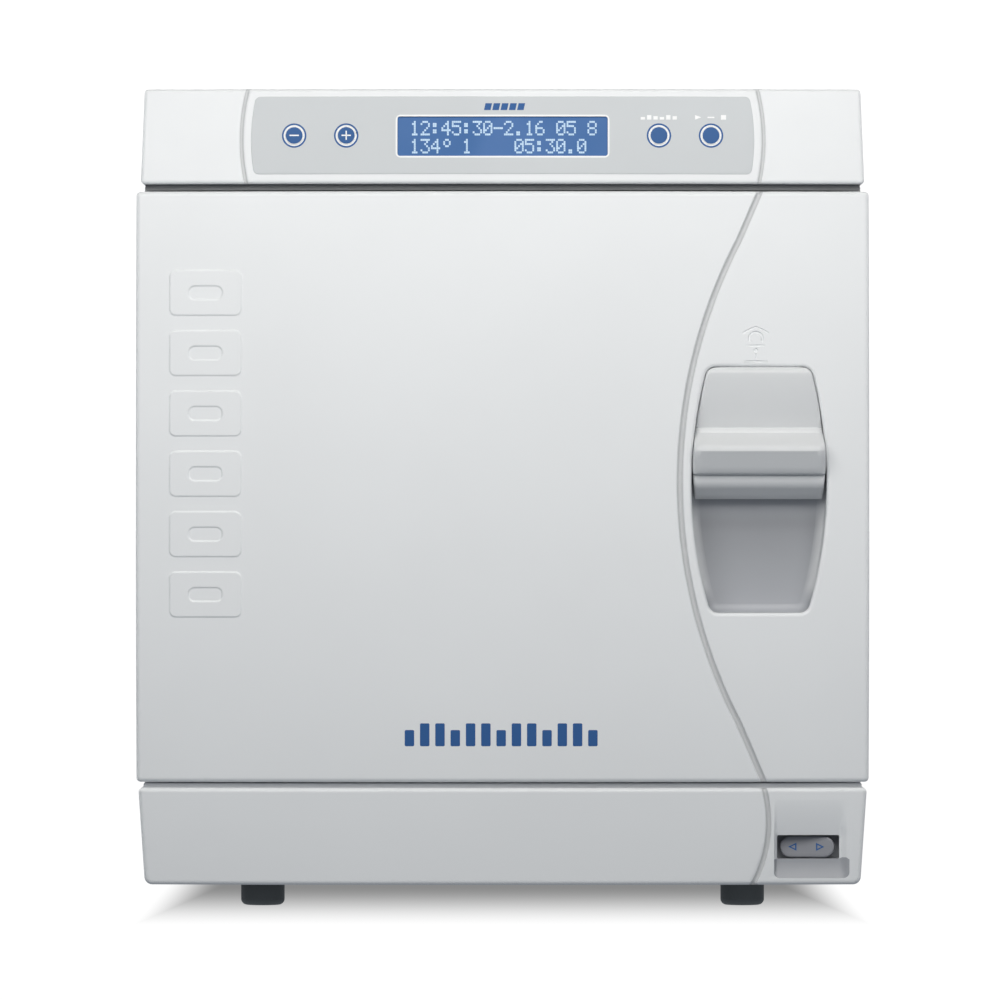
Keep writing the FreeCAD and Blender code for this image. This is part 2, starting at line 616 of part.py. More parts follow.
rear_skin = block("rear_skin", ("0 - 205", "casing_rear - sheet", "tray_bottom"),
                  ("205", "casing_rear", "casing_top - sheet - 0.2"))
grille_disc = rod("grille_disc", ("fan_across", "casing_rear - 3", "fan_height"), "5",
                  "fan_half - 6")
grille_bars = [block(f"grille_bar_{index}", ("fan_across - fan_half", "casing_rear - 4",
                                             f"fan_height - 51.5 + {index} * 8"),
                     ("fan_across + fan_half", "casing_rear + 3",
                      f"fan_height - 48.5 + {index} * 8")) for index in range(13)]
grille_posts = [block(f"grille_post_{index}", (f"fan_across - 21 + {index} * 40",
                                               "casing_rear - 4", "fan_height - fan_half"),
                      (f"fan_across - 19 + {index} * 40", "casing_rear + 3",
                       "fan_height + fan_half")) for index in range(2)]
grille = cut("grille", grille_disc, *grille_bars, *grille_posts)
rear_fittings = [rod(f"rear_hole_{part}", (across, "casing_rear - 3", height), "6", radius)
                 for part, across, height, radius in (
                     ("valve", "0 - 150", "400", "11.3"), ("fresh", "120", "60", "8.2"),
                     ("waste", "160", "60", "8.2"))]
inlet_hole = block("inlet_hole", ("0 - 165", "casing_rear - 3", "42"),
                   ("0 - 133", "casing_rear + 3", "67"))
node("rear_panel", cut("rear", rear_skin, grille, *rear_fittings, inlet_hole))

frame_plate = block("frame_plate", ("0 - 204", "frame_front", "tray_bottom + 2.2"),
                    ("204", "frame_front + frame_thickness", "468"))
frame_holes = [rod("frame_chamber_hole", ("0", "frame_front - 1", "chamber_height"), "6",
                   "chamber_radius + chamber_wall"),
               rod("frame_bolt_hole", ("lock_across", "frame_front - 1", "bolt_height"), "6",
                   "bolt_radius + 0.4"),
               block("frame_cable_window", ("0 - 120", "frame_front - 1", "430"),
                     ("120", "frame_front + 5", "455"))]
frame_holes += [rod(f"frame_stud_hole_{part}", ("lock_across", "frame_front - 1", height), "6",
                    "stud_radius") for part, height in studs]
node("front_frame", cut("frame", frame_plate, *frame_holes))

fascia_block = block("fascia_block", ("0 - fascia_half", "fascia_front", "panel_top + 0.3"),
                     ("fascia_half", "frame_front + 17", "hood_bottom - 0.4"))
fascia_space = block("fascia_space", ("0 - casing_half - 0.3", "frame_front", "panel_top"),
                     ("casing_half + 0.3", "frame_front + 18", "hood_bottom"))
fascia_holes = [rod("fascia_flange_hole", ("0", "fascia_front - 1", "chamber_height"), "4",
                    "flange_radius + 0.5"),
                rod("fascia_bolt_hole", ("lock_across", "fascia_front - 1", "bolt_height"), "4",
                    "bolt_radius + 0.4")]
fascia_holes += [rod(f"fascia_stud_hole_{part}", ("lock_across", "fascia_front - 1", height), "4",
                     "9.5") for part, height in studs]
foot_plates = [block(f"hinge_seat_{part}", ("0 - fascia_half - 1", "fascia_front - 0.1",
                                            f"{height} - 12.2"),
                     ("0 - 175.8", "frame_front", f"{height} + 12.2")) for part, height in hinges]
node("front_fascia", cut("fascia", fascia_block, fascia_space, *fascia_holes, *foot_plates))

# ---------------------------------------------------------------- hinges, studs and lock bolt

brackets = []
bushes = []
for part, height in hinges:
    arm = block(f"arm_{part}", ("hinge_across - arm_half", "hinge_along", f"{height} - 7"),
                ("hinge_across + arm_half", "frame_front", f"{height} + 7"))
    eye = rod(f"eye_{part}", ("hinge_across", "hinge_along", f"{height} - 7"), "14", "arm_half",
              "Z")
    foot = block(f"bracket_foot_{part}", ("0 - 204", "fascia_front", f"{height} - 12"),
                 ("0 - 176", "frame_front", f"{height} + 12"))
    bore = rod(f"arm_bore_{part}", ("hinge_across", "hinge_along", f"{height} - 8"), "16", "4.5",
               "Z")
    brackets.append(cut(f"bracket_{part}", fuse(f"bracket_solid_{part}", arm, eye, foot), bore))
    bush = rod(f"bush_{part}", ("hinge_across", "hinge_along", f"{height} - 7"), "14", "4.5", "Z")
    bush_bore = rod(f"bush_bore_{part}", ("hinge_across", "hinge_along", f"{height} - 8"), "16",
                    "pin_radius + pin_clearance", "Z")
    bushes.append(cut(f"bush_cut_{part}", bush, bush_bore))
node("hinge_brackets", group("brackets", *brackets))
node("hinge_bushes", group("bushes", *bushes))

shank = "(frame_front + frame_thickness + 309)"
node("lock_studs", group("stud_pair", *[turned(f"stud_{part}", [
    ("0", "0"), ("head_radius - 1", "0"), ("head_radius", "1"), ("head_radius", "5.5"),
    ("stud_radius", "5.5"), ("stud_radius", "28"), ("9", "28"), ("9", "30"), ("stud_radius", "30"),
    ("stud_radius", shank), ("0", shank)],
    ("lock_across", "0 - 309", height), "Y") for part, height in studs]))

solenoid_rear = "frame_front + frame_thickness"
solenoid = block("solenoid_can", ("lock_across - 12", solenoid_rear, "bolt_height - 13"),
                 ("lock_across + 12", f"{solenoid_rear} + 36", "bolt_height + 13"))
solenoid_bore = rod("solenoid_bore", ("lock_across", f"{solenoid_rear} - 1", "bolt_height"), "38",
                    "bolt_radius + pin_clearance")
node("lock_solenoid", cut("solenoid", solenoid, solenoid_bore))
node("lock_bolt", fuse("bolt", rod("bolt_shaft", ("lock_across", "frame_front - 1",
                                                  "bolt_height"), "38", "bolt_radius"),
                       rod("bolt_tip", ("lock_across", "frame_front - 1.6", "bolt_height"), "0.6",
                           "bolt_radius - 0.6")))

# ---------------------------------------------------------------- chamber and its contents

bottom = "(chamber_depth - 10)"
node("chamber", turned("vessel", [
    ("chamber_radius", "0"), ("flange_radius", "0"), ("flange_radius", "10"),
    ("chamber_radius + chamber_wall", "10"), ("chamber_radius + chamber_wall", bottom),
    ("chamber_radius - 8", f"{bottom} + 12"), ("0", f"{bottom} + 12"), ("0", f"{bottom} + 10"),
    ("chamber_radius - 9", f"{bottom} + 10"), ("chamber_radius", bottom)],
    ("0", "flange_front", "chamber_height"), "Y"))


def jacket(name, start, length, inner, outer):
    """A ring round the chamber."""
    outside = rod(f"{name}_outside", ("0", start, "chamber_height"), length, outer)
    inside = rod(f"{name}_inside", ("0", f"{start} - 1", "chamber_height"), f"{length} + 2", inner)
    return cut(name, outside, inside)


shell = "chamber_radius + chamber_wall"
terminal = block("heater_terminal", ("0 - 15", "0 - 60", "chamber_height - 140"),
                 ("15", "0 - 20", "chamber_height - 129.5"))
node("heater_band", fuse("heater", jacket("heater_ring", "0 - 120", "200", shell, f"{shell} + 3"),
                         terminal))
jacket_gap = block("jacket_gap", ("0 - 18", "0 - 66", "90"), ("18", "0 - 14", "chamber_height - 120"))
node("insulation_jacket", cut("insulation", jacket("insulation_ring", "0 - 270", "418",
                                                   f"{shell} + 4", "148"), jacket_gap))

cradle_plates = [block(f"cradle_{part}", ("0 - 95", along, "tray_bottom + 2"),
                       ("95", f"{along} + 3", "150"))
                 for part, along in (("front", "0 - 210"), ("rear", "90"))]
cradle_ties = [block(f"cradle_tie_{side}", (across, "0 - 210", "tray_bottom + 2"),
                     (f"{across} + 20", "93", "tray_bottom + 5")) for side, across in
               (("left", "0 - 95"), ("right", "75"))]
cradle_cut = rod("cradle_cut", ("0", "0 - 260", "chamber_height"), "450", "148.2")
node("chamber_cradle", cut("cradle", fuse("cradle_solid", *cradle_plates, *cradle_ties), cradle_cut))

tray_levels = ("198", "243", "288")
rack_sides = []
for side, sign in (("left", -1), ("right", 1)):
    inner, outer = sorted((f"{sign} * 97", f"{sign} * 98.2"), key=value)
    sheets = [block(f"rack_sheet_{side}", (inner, "0 - 255", "185"), (outer, "45", "312"))]
    for index, level in enumerate(tray_levels):
        near, far = sorted((f"{sign} * 90", f"{sign} * 97.5"), key=value)
        sheets.append(block(f"rack_rail_{side}_{index}", (near, "0 - 255", f"{level} - 1.5"),
                            (far, "45", f"{level} - 0.2")))
    windows = [block(f"rack_window_{side}_{index}_{level}",
                     (inner, f"0 - 240 + {index} * 72", f"{level} + 6"),
                     (outer, f"0 - 190 + {index} * 72", f"{level} + 20"))
               for index in range(4) for level in tray_levels[:2]]
    rack_sides.append(cut(f"rack_side_{side}", fuse(f"rack_solid_{side}", *sheets), *windows))
rack_ties = [block(f"rack_tie_{part}", ("0 - 97", along, height), ("97", f"{along} + 12",
                                                                   f"{height} + 1.2"))
             for part, along, height in (("low_front", "0 - 230", "185"), ("low_rear", "20", "185"),
                                         ("top_front", "0 - 230", "310.8"),
                                         ("top_rear", "20", "310.8"))]
rack_feet = [block(f"rack_foot_{part}", (across, "0 - 255", "135.5"), (f"{across} + 1.2", "45",
                                                                     "185"))
             for part, across in (("left", "0 - 60"), ("right", "58.8"))]
node("tray_rack", group("rack", *rack_sides, *rack_ties, *rack_feet))

trays = []
for index, level in enumerate(tray_levels):
    outside = block(f"tray_pan_{index}", ("0 - 94", "0 - 250", level), ("94", "38",
                                                                       f"{level} + 17"))
    inside = block(f"tray_hollow_{index}", ("0 - 93", "0 - 249", f"{level} + 1"),
                   ("93", "37", f"{level} + 18"))
    holes = [rod(f"tray_hole_{index}_{across}_{along}", (f"0 - 72 + {across} * 24",
                                                         f"0 - 226 + {along} * 30",
                                                         f"{level} - 1"), "4", "3", "Z")
             for across in range(7) for along in range(9)]
    trays.append(cut(f"tray_{index}", outside, inside, *holes))
node("trays", group("tray_set", *trays))

# ---------------------------------------------------------------- steam and water side

generator = fillet("generator_shell", rod("generator_can", ("0 - 120", "238", "52"), "170", "44",
                                          "Z"), "12", lambda edge: True)
generator_legs = [block(f"generator_leg_{index}", (across, "225", "tray_bottom + 2"),
                        (f"{across} + 4", "251", "70")) for index, across in
                  enumerate(("0 - 155", "0 - 89"))]
generator_port = rod("generator_port", ("0 - 120", "238", "218"), "12", "8", "Z")
heater_cap = rod("generator_heater", ("0 - 120", "238", "40"), "16", "20", "Z")
node("steam_generator", fuse("generator", generator, *generator_legs, generator_port, heater_cap))

pump_parts = [rod("pump_motor", ("55", "240", "78"), "90", "36", "X")]
for part, across in (("left", "20"), ("right", "142")):
    pump_parts.append(block(f"pump_head_{part}", (across, "212", "50"), (f"{across} + 38", "268",
                                                                         "112")))
pump_parts.append(block("pump_base", ("30", "205", "tray_bottom + 2"), ("128", "275", "50")))
node("vacuum_pump", fuse("pump", *pump_parts))

tank_outside = block("tank_outside", ("0 - tank_half", "tank_front", "tank_bottom"),
                     ("tank_half", "tank_back", "tank_top"))
tank_neck = block("tank_neck", ("0 - filler_half - 3", "filler_front - 3", "tank_top - 3"),
                  ("filler_half + 3", "filler_back + 3", "casing_top + 4"))
tank_sides = [block(f"tank_water_{side}", (low, "tank_front + 3", "tank_bottom + 3"),
                    (high, "tank_back - 3", "tank_top - 3"))
              for side, low, high in (("fresh", "3 - tank_half", "0 - 1.5"),
                                      ("used", "1.5", "tank_half - 3"))]
tank_mouth = block("tank_mouth", ("0 - filler_half", "filler_front", "tank_top - 4"),
                   ("filler_half", "filler_back", "casing_top + 5"))
node("water_tank", cut("tank", fuse("tank_solid", tank_outside, tank_neck), *tank_sides, tank_mouth))

lid_solid = fillet("lid_solid", block("lid_slab", ("0 - lid_half", "filler_front - 11",
                                                   "casing_top + 0.3"),
                                      ("lid_half", "filler_back + 11", "cabinet_height")), "4",
                   lambda edge: edge.BoundBox.ZMax > value("casing_top") + 1)
lid_space = block("lid_space", ("0 - filler_half - 4", "filler_front - 4", "casing_top"),
                  ("filler_half + 4", "filler_back + 4", "casing_top + 5"))
lid_grips = [rod(f"lid_grip_{side}", (across, "filler_front + 40", "cabinet_height + 14"), "76",
                 "18") for side, across in (("left", "0 - 92"), ("right", "92"))]
node("tank_lid", cut("lid", lid_solid, lid_space, *lid_grips))

fins = [block(f"fin_{index}", (f"42 + {index} * 9", "258", "242"), (f"43 + {index} * 9", "286",
                                                                   "358")) for index in range(13)]
coil = [rod(f"coil_{index}", ("38", "272", f"256 + {index} * 22"), "118", "4", "X")
        for index in range(5)]
node("condenser", fuse("condenser_solid", *fins, *coil))

fan_box = block("fan_box", ("fan_across - fan_half", "fan_front", "fan_height - fan_half"),
                ("fan_across + fan_half", "fan_front + 25", "fan_height + fan_half"))
fan_round = rod("fan_round", ("fan_across", "fan_front - 1", "fan_height"), "27", "fan_half - 3")
fan_bores = [rod(f"fan_corner_{index}", (f"fan_across + {across}", "fan_front - 1",
                                         f"fan_height + {up}"), "27", "2.2")
             for index, (across, up) in enumerate(((-52.5, -52.5), (-52.5, 52.5), (52.5, -52.5),
                                                   (52.5, 52.5)))]
fan_hub = rod("fan_hub", ("fan_across", "fan_front", "fan_height"), "4", "20")
fan_arms = [block("fan_arm_level", ("fan_across - fan_half + 1", "fan_front", "fan_height - 3"),
                  ("fan_across + fan_half - 1", "fan_front + 3", "fan_height + 3")),
            block("fan_arm_upright", ("fan_across - 3", "fan_front", "fan_height - fan_half + 1"),
                  ("fan_across + 3", "fan_front + 3", "fan_height + fan_half - 1"))]
fan_bearing = rod("fan_bearing", ("fan_across", "fan_front - 1", "fan_height"), "10",
                  "2 + pin_clearance")
node("fan_frame", cut("fan_housing", fuse("fan_body", cut("fan_ring", fan_box, fan_round,
                                                          *fan_bores), fan_hub, *fan_arms),
                      fan_bearing))
rotor_parts = [rod("rotor_hub", ("fan_across", "fan_front + 6", "fan_height"), "15", "20"),
               rod("rotor_shaft", ("fan_across", "fan_front + 0.5", "fan_height"), "8", "2")]
for index in range(7):
    blade = doc.addObject("Part::Box", f"blade_{index}")
    blade.Length, blade.Width, blade.Height = 36, 16, 1.2
    tilt = Placement(Vector(17, 0, 0), Rotation(Vector(1, 0, 0), 52), Vector(0, 8, 0.6))
    spin = Rotation(Vector(0, 1, 0), index * 360 / 7)
    centre = Vector(value("fan_across"), value("fan_front") + 5.5, value("fan_height"))
    blade.Placement = Placement(centre, spin).multiply(tilt)
    rotor_parts.append(blade)
node("fan_rotor", fuse("rotor", *rotor_parts))

valve_parts = [block("manifold", ("0 - 198", "0 - 150", "62"), ("0 - 164", "0 - 10", "88"))]
for index in range(4):
    along = f"0 - 132 + {index} * 34"
    valve_parts.append(rod(f"valve_coil_{index}", ("0 - 181", along, "87"), "42", "14", "Z"))
    valve_parts.append(rod(f"valve_tip_{index}", ("0 - 181", along, "128"), "6", "5", "Z"))
valve_parts.append(block("manifold_foot", ("0 - 190", "0 - 100", "tray_bottom + 2"),
                         ("0 - 172", "0 - 60", "63")))
node("valve_block", fuse("valves", *valve_parts))

filter_parts = [rod("filter_cup", ("0 - 168", "232", "300"), "52", "26", "Z"),
                rod("filter_top", ("0 - 168", "232", "352"), "10", "12", "Z"),
                rod("filter_stem", ("0 - 168", "232", "286"), "15", "6", "Z")]
node("sterile_filter", fuse("air_filter", *filter_parts))

node("steam_pipes", group("pipes", pipe("steam_pipe", [
    ("0 - 120", "238", "230"), ("0 - 120", "238", "262"), ("0 - 60", "238", "300"),
    ("0 - 60", "163", "300")], "4", "14"), pipe("air_pipe", [
        ("0 - 168", "232", "286"), ("0 - 168", "232", "262"), ("0 - 168", "182", "262"),
        ("0 - 168", "182", "175"), ("0 - 60", "182", "175"), ("0 - 60", "163", "175")],
        "3", "8")))

valve_bore = rod("relief_bore", ("0 - 150", "casing_rear - 16", "400"), "40",
                 "3 + pin_clearance")
node("relief_valve_body", cut("relief_body", fuse(
    "relief_solid", rod("relief_barrel", ("0 - 150", "casing_rear - 15", "400"), "31", "11"),
    rod("relief_flange", ("0 - 150", "casing_rear - 3.5", "400"), "2", "15")), valve_bore))
node("relief_spindle", fuse("relief_pull", rod("spindle_rod", ("0 - 150", "casing_rear - 10",
                                                               "400"), "32", "3"),
                            rod("spindle_knob", ("0 - 150", "casing_rear + 18", "400"), "7",
                                "8")))

# ---------------------------------------------------------------- electrics

board_parts = [block("board", ("0 - 140", "0 - 262", "418"), ("60", "0 - 95", "419.6"))]
board_parts += [block(f"board_part_{index}", (f"0 - 130 + {index} * 38", "0 - 240", "419"),
                      (f"0 - 108 + {index} * 38", "0 - 205", "437")) for index in range(5)]
board_parts += [rod(f"board_cap_{index}", (f"0 - 118 + {index} * 30", "0 - 150", "419"), "22", "9",
                    "Z") for index in range(5)]
board_parts += [rod(f"board_post_{index}", (across, along, "396"), "23", "3", "Z")
                for index, (across, along) in enumerate((("0 - 134", "0 - 256"), ("54", "0 - 256"),
                                                         ("0 - 134", "0 - 101"), ("54", "0 - 101")))]
node("control_board", fuse("board_solid", *board_parts))
node("power_supply", fillet("supply", block("supply_box", ("80", "0 - 262", "404"),
                                            ("180", "0 - 120", "452")), "2", lambda edge: True))

inlet_body = block("inlet_body", ("0 - 164", "casing_rear - 20", "43"),
                   ("0 - 134", "casing_rear", "66"))
inlet_rim = block("inlet_rim", ("0 - 170", "casing_rear", "38"), ("0 - 128", "casing_rear + 2", "71"))
inlet_space = block("inlet_space", ("0 - 161", "casing_rear - 17", "46"),
                    ("0 - 137", "casing_rear + 3", "63"))
inlet_pins = [block(f"inlet_pin_{index}", (f"0 - 157 + {index} * 7", "casing_rear - 18", low),
                    (f"0 - 155 + {index} * 7", "casing_rear - 2", f"{low} + 4"))
              for index, low in enumerate(("51", "56", "51"))]
node("mains_inlet", fuse("inlet", cut("inlet_shell", fuse("inlet_solid", inlet_body, inlet_rim),
                                      inlet_space), *inlet_pins))

connectors = []
for part, across in (("fresh", "120"), ("waste", "160")):
    connectors.append(turned(f"connector_{part}", [
        ("3.5", "0"), ("8", "0"), ("8", "20"), ("12", "20"), ("12", "24"), ("6", "24"),
        ("6", "44"), ("5", "45"), ("3.5", "45")], (across, "rear_edge - 45", "60"), "Y"))
node("hose_connectors", group("connector_pair", *connectors))

# ---------------------------------------------------------------- feet and fasteners

feet = []
foot_screws = []
for index, (across, along) in enumerate(foot_spots):
    feet.append(turned(f"foot_{index}", [
        ("3.2", "5"), ("7", "5"), ("7", "0"), ("foot_radius - 3.5", "0", "3.5", 1),
        ("foot_radius", "3.5"), ("foot_radius", "foot_height"), ("3.2", "foot_height")],
        (across, along, "0")))
    foot_screws.append(turned(f"foot_screw_{index}", [
        ("0", "1.5"), ("6", "1.5"), ("6", "5"), ("3", "5"), ("3", "17"), ("5.5", "17"),
        ("5.5", "21"), ("3", "21"), ("3", "23"), ("0", "23")], (across, along, "0")))
node("feet", group("foot_set", *feet))
node("foot_screws", group("foot_screw_set", *foot_screws))

cover_screws = []
for side, sign in (("left", -1), ("right", 1)):
    for part, along, height in (("rear_low", "300", "30"), ("rear_high", "300", "455"),
                                ("front_low", "0 - 235", "30")):
        start = f"{sign} * casing_half" if sign > 0 else "0 - casing_half - 1.6"
        cover_screws.append(rod(f"cover_screw_{side}_{part}", (start, along, height), "1.6", "4",
                                "X"))
for index, (across, height) in enumerate((("0 - 195", "30"), ("195", "30"), ("0 - 195", "455"),
                                          ("195", "455"))):
    cover_screws.append(rod(f"rear_screw_{index}", (across, "casing_rear", height), "1.6", "4"))
node("cover_screws", group("cover_screw_set", *cover_screws))

# ---------------------------------------------------------------- build, check and write

doc.recompute()
failed = [thing.Name for thing in doc.Objects if {"Invalid", "Error"} & set(thing.State)]
if failed:
    raise RuntimeError(f"objects that failed: {failed}")
for label, thing in nodes:
    if thing.Label != label or thing.Shape.isNull() or not thing.Shape.isValid():
        raise RuntimeError(f"{label} has no valid shape of that name")
os.makedirs("parts", exist_ok=True)
for label, thing in nodes:
    thing.Shape.exportStep(f"parts/{label}.step")
print(f"{len(nodes)} sub-parts written")
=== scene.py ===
"""Looks for the benchtop steam steriliser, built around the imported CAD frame.

Frame: X to the right seen from the front, Y to the back, Z up. Sizes below are in millimetres
and become metres when a mesh is made.
"""
import json
import math

import bmesh
import bpy
import numpy as np
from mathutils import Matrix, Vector
from mathutils.geometry import delaunay_2d_cdt


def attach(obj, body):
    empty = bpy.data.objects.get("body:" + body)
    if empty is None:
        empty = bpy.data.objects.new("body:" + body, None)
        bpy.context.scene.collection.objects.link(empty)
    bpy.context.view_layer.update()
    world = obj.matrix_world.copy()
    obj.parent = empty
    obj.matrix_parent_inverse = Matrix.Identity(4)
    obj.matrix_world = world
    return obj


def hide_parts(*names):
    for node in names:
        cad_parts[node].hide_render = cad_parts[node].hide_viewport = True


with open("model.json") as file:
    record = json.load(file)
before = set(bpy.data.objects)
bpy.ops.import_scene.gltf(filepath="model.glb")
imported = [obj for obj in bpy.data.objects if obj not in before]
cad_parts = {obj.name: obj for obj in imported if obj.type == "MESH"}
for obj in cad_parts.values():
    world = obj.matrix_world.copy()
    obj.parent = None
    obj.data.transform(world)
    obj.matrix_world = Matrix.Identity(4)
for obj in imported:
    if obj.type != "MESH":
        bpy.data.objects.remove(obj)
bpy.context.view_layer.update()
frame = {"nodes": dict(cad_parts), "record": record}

MM = 0.001
scene = bpy.context.scene

# ------------ the crowned front

APEX, RISE, BOW, CROWN = -338.0, 1462.0, 2809.0, 245.0


def front(x, z, inset=0.0):
    """Y of the crowned front at X, Z, moved in by an inset."""
    middle = APEX + RISE - np.sqrt((RISE - inset) ** 2 - (z - CROWN) ** 2)
    return APEX + BOW - np.sqrt((APEX + BOW - middle) ** 2 - x ** 2)


# ------------ flat outlines, in X and Z


def spread(start, end, count):
    """Evenly spaced points from start up to, but not including, end."""
    return [(start[0] + (end[0] - start[0]) * k / count, start[1] + (end[1] - start[1]) * k / count)
            for k in range(count)]


def rounded(corners, radius, inset=0.0, step=6.0):
    """A convex counter-clockwise outline moved inwards, with rounded corners."""
    spots = [Vector(corner) for corner in corners]
    count = len(spots)
    lines = []
    for first, second in zip(spots, spots[1:] + spots[:1]):
        along = (second - first).normalized()
        inward = Vector((-along.y, along.x))
        lines.append((first + inward * inset, along))
    moved = []
    for index in range(count):
        (p, d), (q, e) = lines[index - 1], lines[index]
        reach = ((q - p).x * e.y - (q - p).y * e.x) / (d.x * e.y - d.y * e.x)
        moved.append(p + d * reach)
    radii = radius if isinstance(radius, (list, tuple)) else [radius] * count
    arcs, turns = [], 8
    for index in range(count):
        size = max(radii[index] - inset, 0.15)
        d, e = lines[index - 1][1], lines[index][1]
        bend = d.angle(e)
        back = size * math.tan(bend / 2)
        start = moved[index] - d * back
        centre = start + Vector((-d.y, d.x)) * size
        base = math.atan2(start.y - centre.y, start.x - centre.x)
        arcs.append([(centre.x + size * math.cos(base + bend * k / turns),
                      centre.y + size * math.sin(base + bend * k / turns))
                     for k in range(turns + 1)])
    outline = []
    for index in range(count):
        outline += arcs[index][:-1]
        end = arcs[(index + 1) % count][0]
        start = arcs[index][-1]
        outline += spread(start, end, max(1, round(math.dist(start, end) / step)))
    return outline


def box_corners(left, low, right, high):
    return [(left, low), (right, low), (right, high), (left, high)]


def grown(box, margin):
    """A box of left, low, right and high, larger by a margin all round."""
    left, low, right, high = box
    return left - margin, low - margin, right + margin, high + margin


def rounded_box(box, radius, inset=0.0, step=6.0):
    return rounded(box_corners(*box), radius, inset, step)


def circle(x, z, radius, count=48):
    return [(x + radius * math.cos(2 * math.pi * k / count),
             z + radius * math.sin(2 * math.pi * k / count)) for k in range(count)]


def stadium(half, radius):
    """A straight-sided oval about the origin, half long and radius high."""
    right = [(half - radius + radius * math.sin(a), -radius * math.cos(a))
             for a in np.linspace(0, math.pi, 16)]
    left = [(-x, -z) for x, z in right]
    return (right[:-1] + spread(right[-1], left[0], 6) + left[:-1]
            + spread(left[-1], right[0], 6))


def bulging(x, z, offset, radius, low, high, corner, turns, sides, ends):
    """A counter-clockwise outline with flat ends, bulging sides and rounded corners.

    The arc of each side is centred at Z, and the offset past X on the other side. The last three
    numbers say how often a corner, a side and an end are divided."""
    right = []
    for end, level in ((-1, low), (1, high)):
        turn_z = level - end * corner
        reach = math.sqrt((radius - corner) ** 2 - (turn_z - z) ** 2)
        angles = np.linspace(end * math.pi / 2, math.atan2(turn_z - z, reach), turns + 1)
        turn_x = x - offset + reach
        turn = [(turn_x + corner * math.cos(a), turn_z + corner * math.sin(a)) for a in angles]
        right.append(turn if end < 0 else turn[::-1])
    side = [(x + (math.sqrt(radius ** 2 - (level - z) ** 2) - offset), float(level))
            for level in np.linspace(right[0][-1][1], right[1][0][1], sides + 1)[1:-1]]
    half = right[0] + side + right[1]
    other = [(2 * x - edge, level) for edge, level in half[::-1]]
    return (half[:-1] + spread(half[-1], other[0], ends) + other[:-1]
            + spread(other[-1], half[0], ends))


def side_arc(x, z, radius, degrees, count, side=1):
    """An open arc from below to above its centre's level, on the right or left of the centre."""
    sweep = math.radians(degrees)
    return [(x + side * radius * math.cos(a), z + radius * math.sin(a))
            for a in np.linspace(-sweep, sweep, count)]


def distance(points, line, closed=True):
    """How far each point is from a polyline."""
    points = np.asarray(points, float)
    starts = np.asarray(line, float)
    ends = np.roll(starts, -1, axis=0)
    if not closed:
        starts, ends = starts[:-1], ends[:-1]
    steps = ends - starts
    lengths = np.maximum((steps ** 2).sum(1), 1e-12)
    nearest = np.full(len(points), np.inf)
    chunk = 4000
    for low in range(0, len(points), chunk):
        part = points[low:low + chunk, None, :] - starts[None]
        where = np.clip((part * steps).sum(2) / lengths, 0, 1)
        gap = part - where[..., None] * steps
        nearest[low:low + chunk] = np.sqrt((gap ** 2).sum(2).min(1))
    return nearest


def within(points, outline):
    """Which points are inside a closed outline."""
    points = np.asarray(points, float)
    line = np.asarray(outline, float)
    after = np.roll(line, -1, axis=0)
    inside = np.zeros(len(points), bool)
    chunk = 4000
    for low in range(0, len(points), chunk):
        x, z = points[low:low + chunk, 0:1], points[low:low + chunk, 1:2]
        spans = (line[:, 1] > z) != (after[:, 1] > z)
        rise = np.where(after[:, 1] == line[:, 1], 1e-12, after[:, 1] - line[:, 1])
        reach = (after[:, 0] - line[:, 0]) * (z - line[:, 1]) / rise + line[:, 0]
        inside[low:low + chunk] = (spans & (x < reach)).sum(1) % 2 == 1
    return inside


def alongside(line, shift):
    """An open polyline moved sideways."""
    points = np.asarray(line, float)
    slopes = np.gradient(points, axis=0)
    slopes /= np.linalg.norm(slopes, axis=1)[:, None]
    return points + np.stack([-slopes[:, 1], slopes[:, 0]], 1) * shift


def smooth(t):
    t = np.clip(t, 0, 1)
    return t * t * (3 - 2 * t)


def rim(away, radius):
    """How far a rounded rim falls back at a distance in from its edge."""
    reach = np.clip(radius - away, 0, radius)
    return radius - np.sqrt(np.maximum(radius ** 2 - reach ** 2, 0))


def rim_insets(radius, count=6):
    """Distances in from an edge that divide its rounding evenly, and two on the flat."""
    turns = [radius * (1 - math.cos(math.pi / 2 * k / count)) for k in range(1, count + 1)]
    return turns + [radius + 0.5, radius + 1.6]


# ------------ mesh making

GUIDE_GAP, DOT_GAP, DOT_GUIDE_GAP = 0.12, 1.2, 0.8


def lift(outline, height):
    """Outline points with their Y from a height function or a number."""
    line = np.asarray(outline, float)
    depth = height(line[:, 0], line[:, 1]) if callable(height) else np.full(len(line), height)
    return np.stack([line[:, 0], depth, line[:, 1]], 1)


def clear_of(points, outline, holes, gap):
    """Which points lie in an outline and out of its holes, a gap away from their edges."""
    keep = within(points, outline) & (distance(points, outline) > gap)
    for hole in holes:
        keep &= ~within(points, hole) & (distance(points, hole) > gap)
    return keep


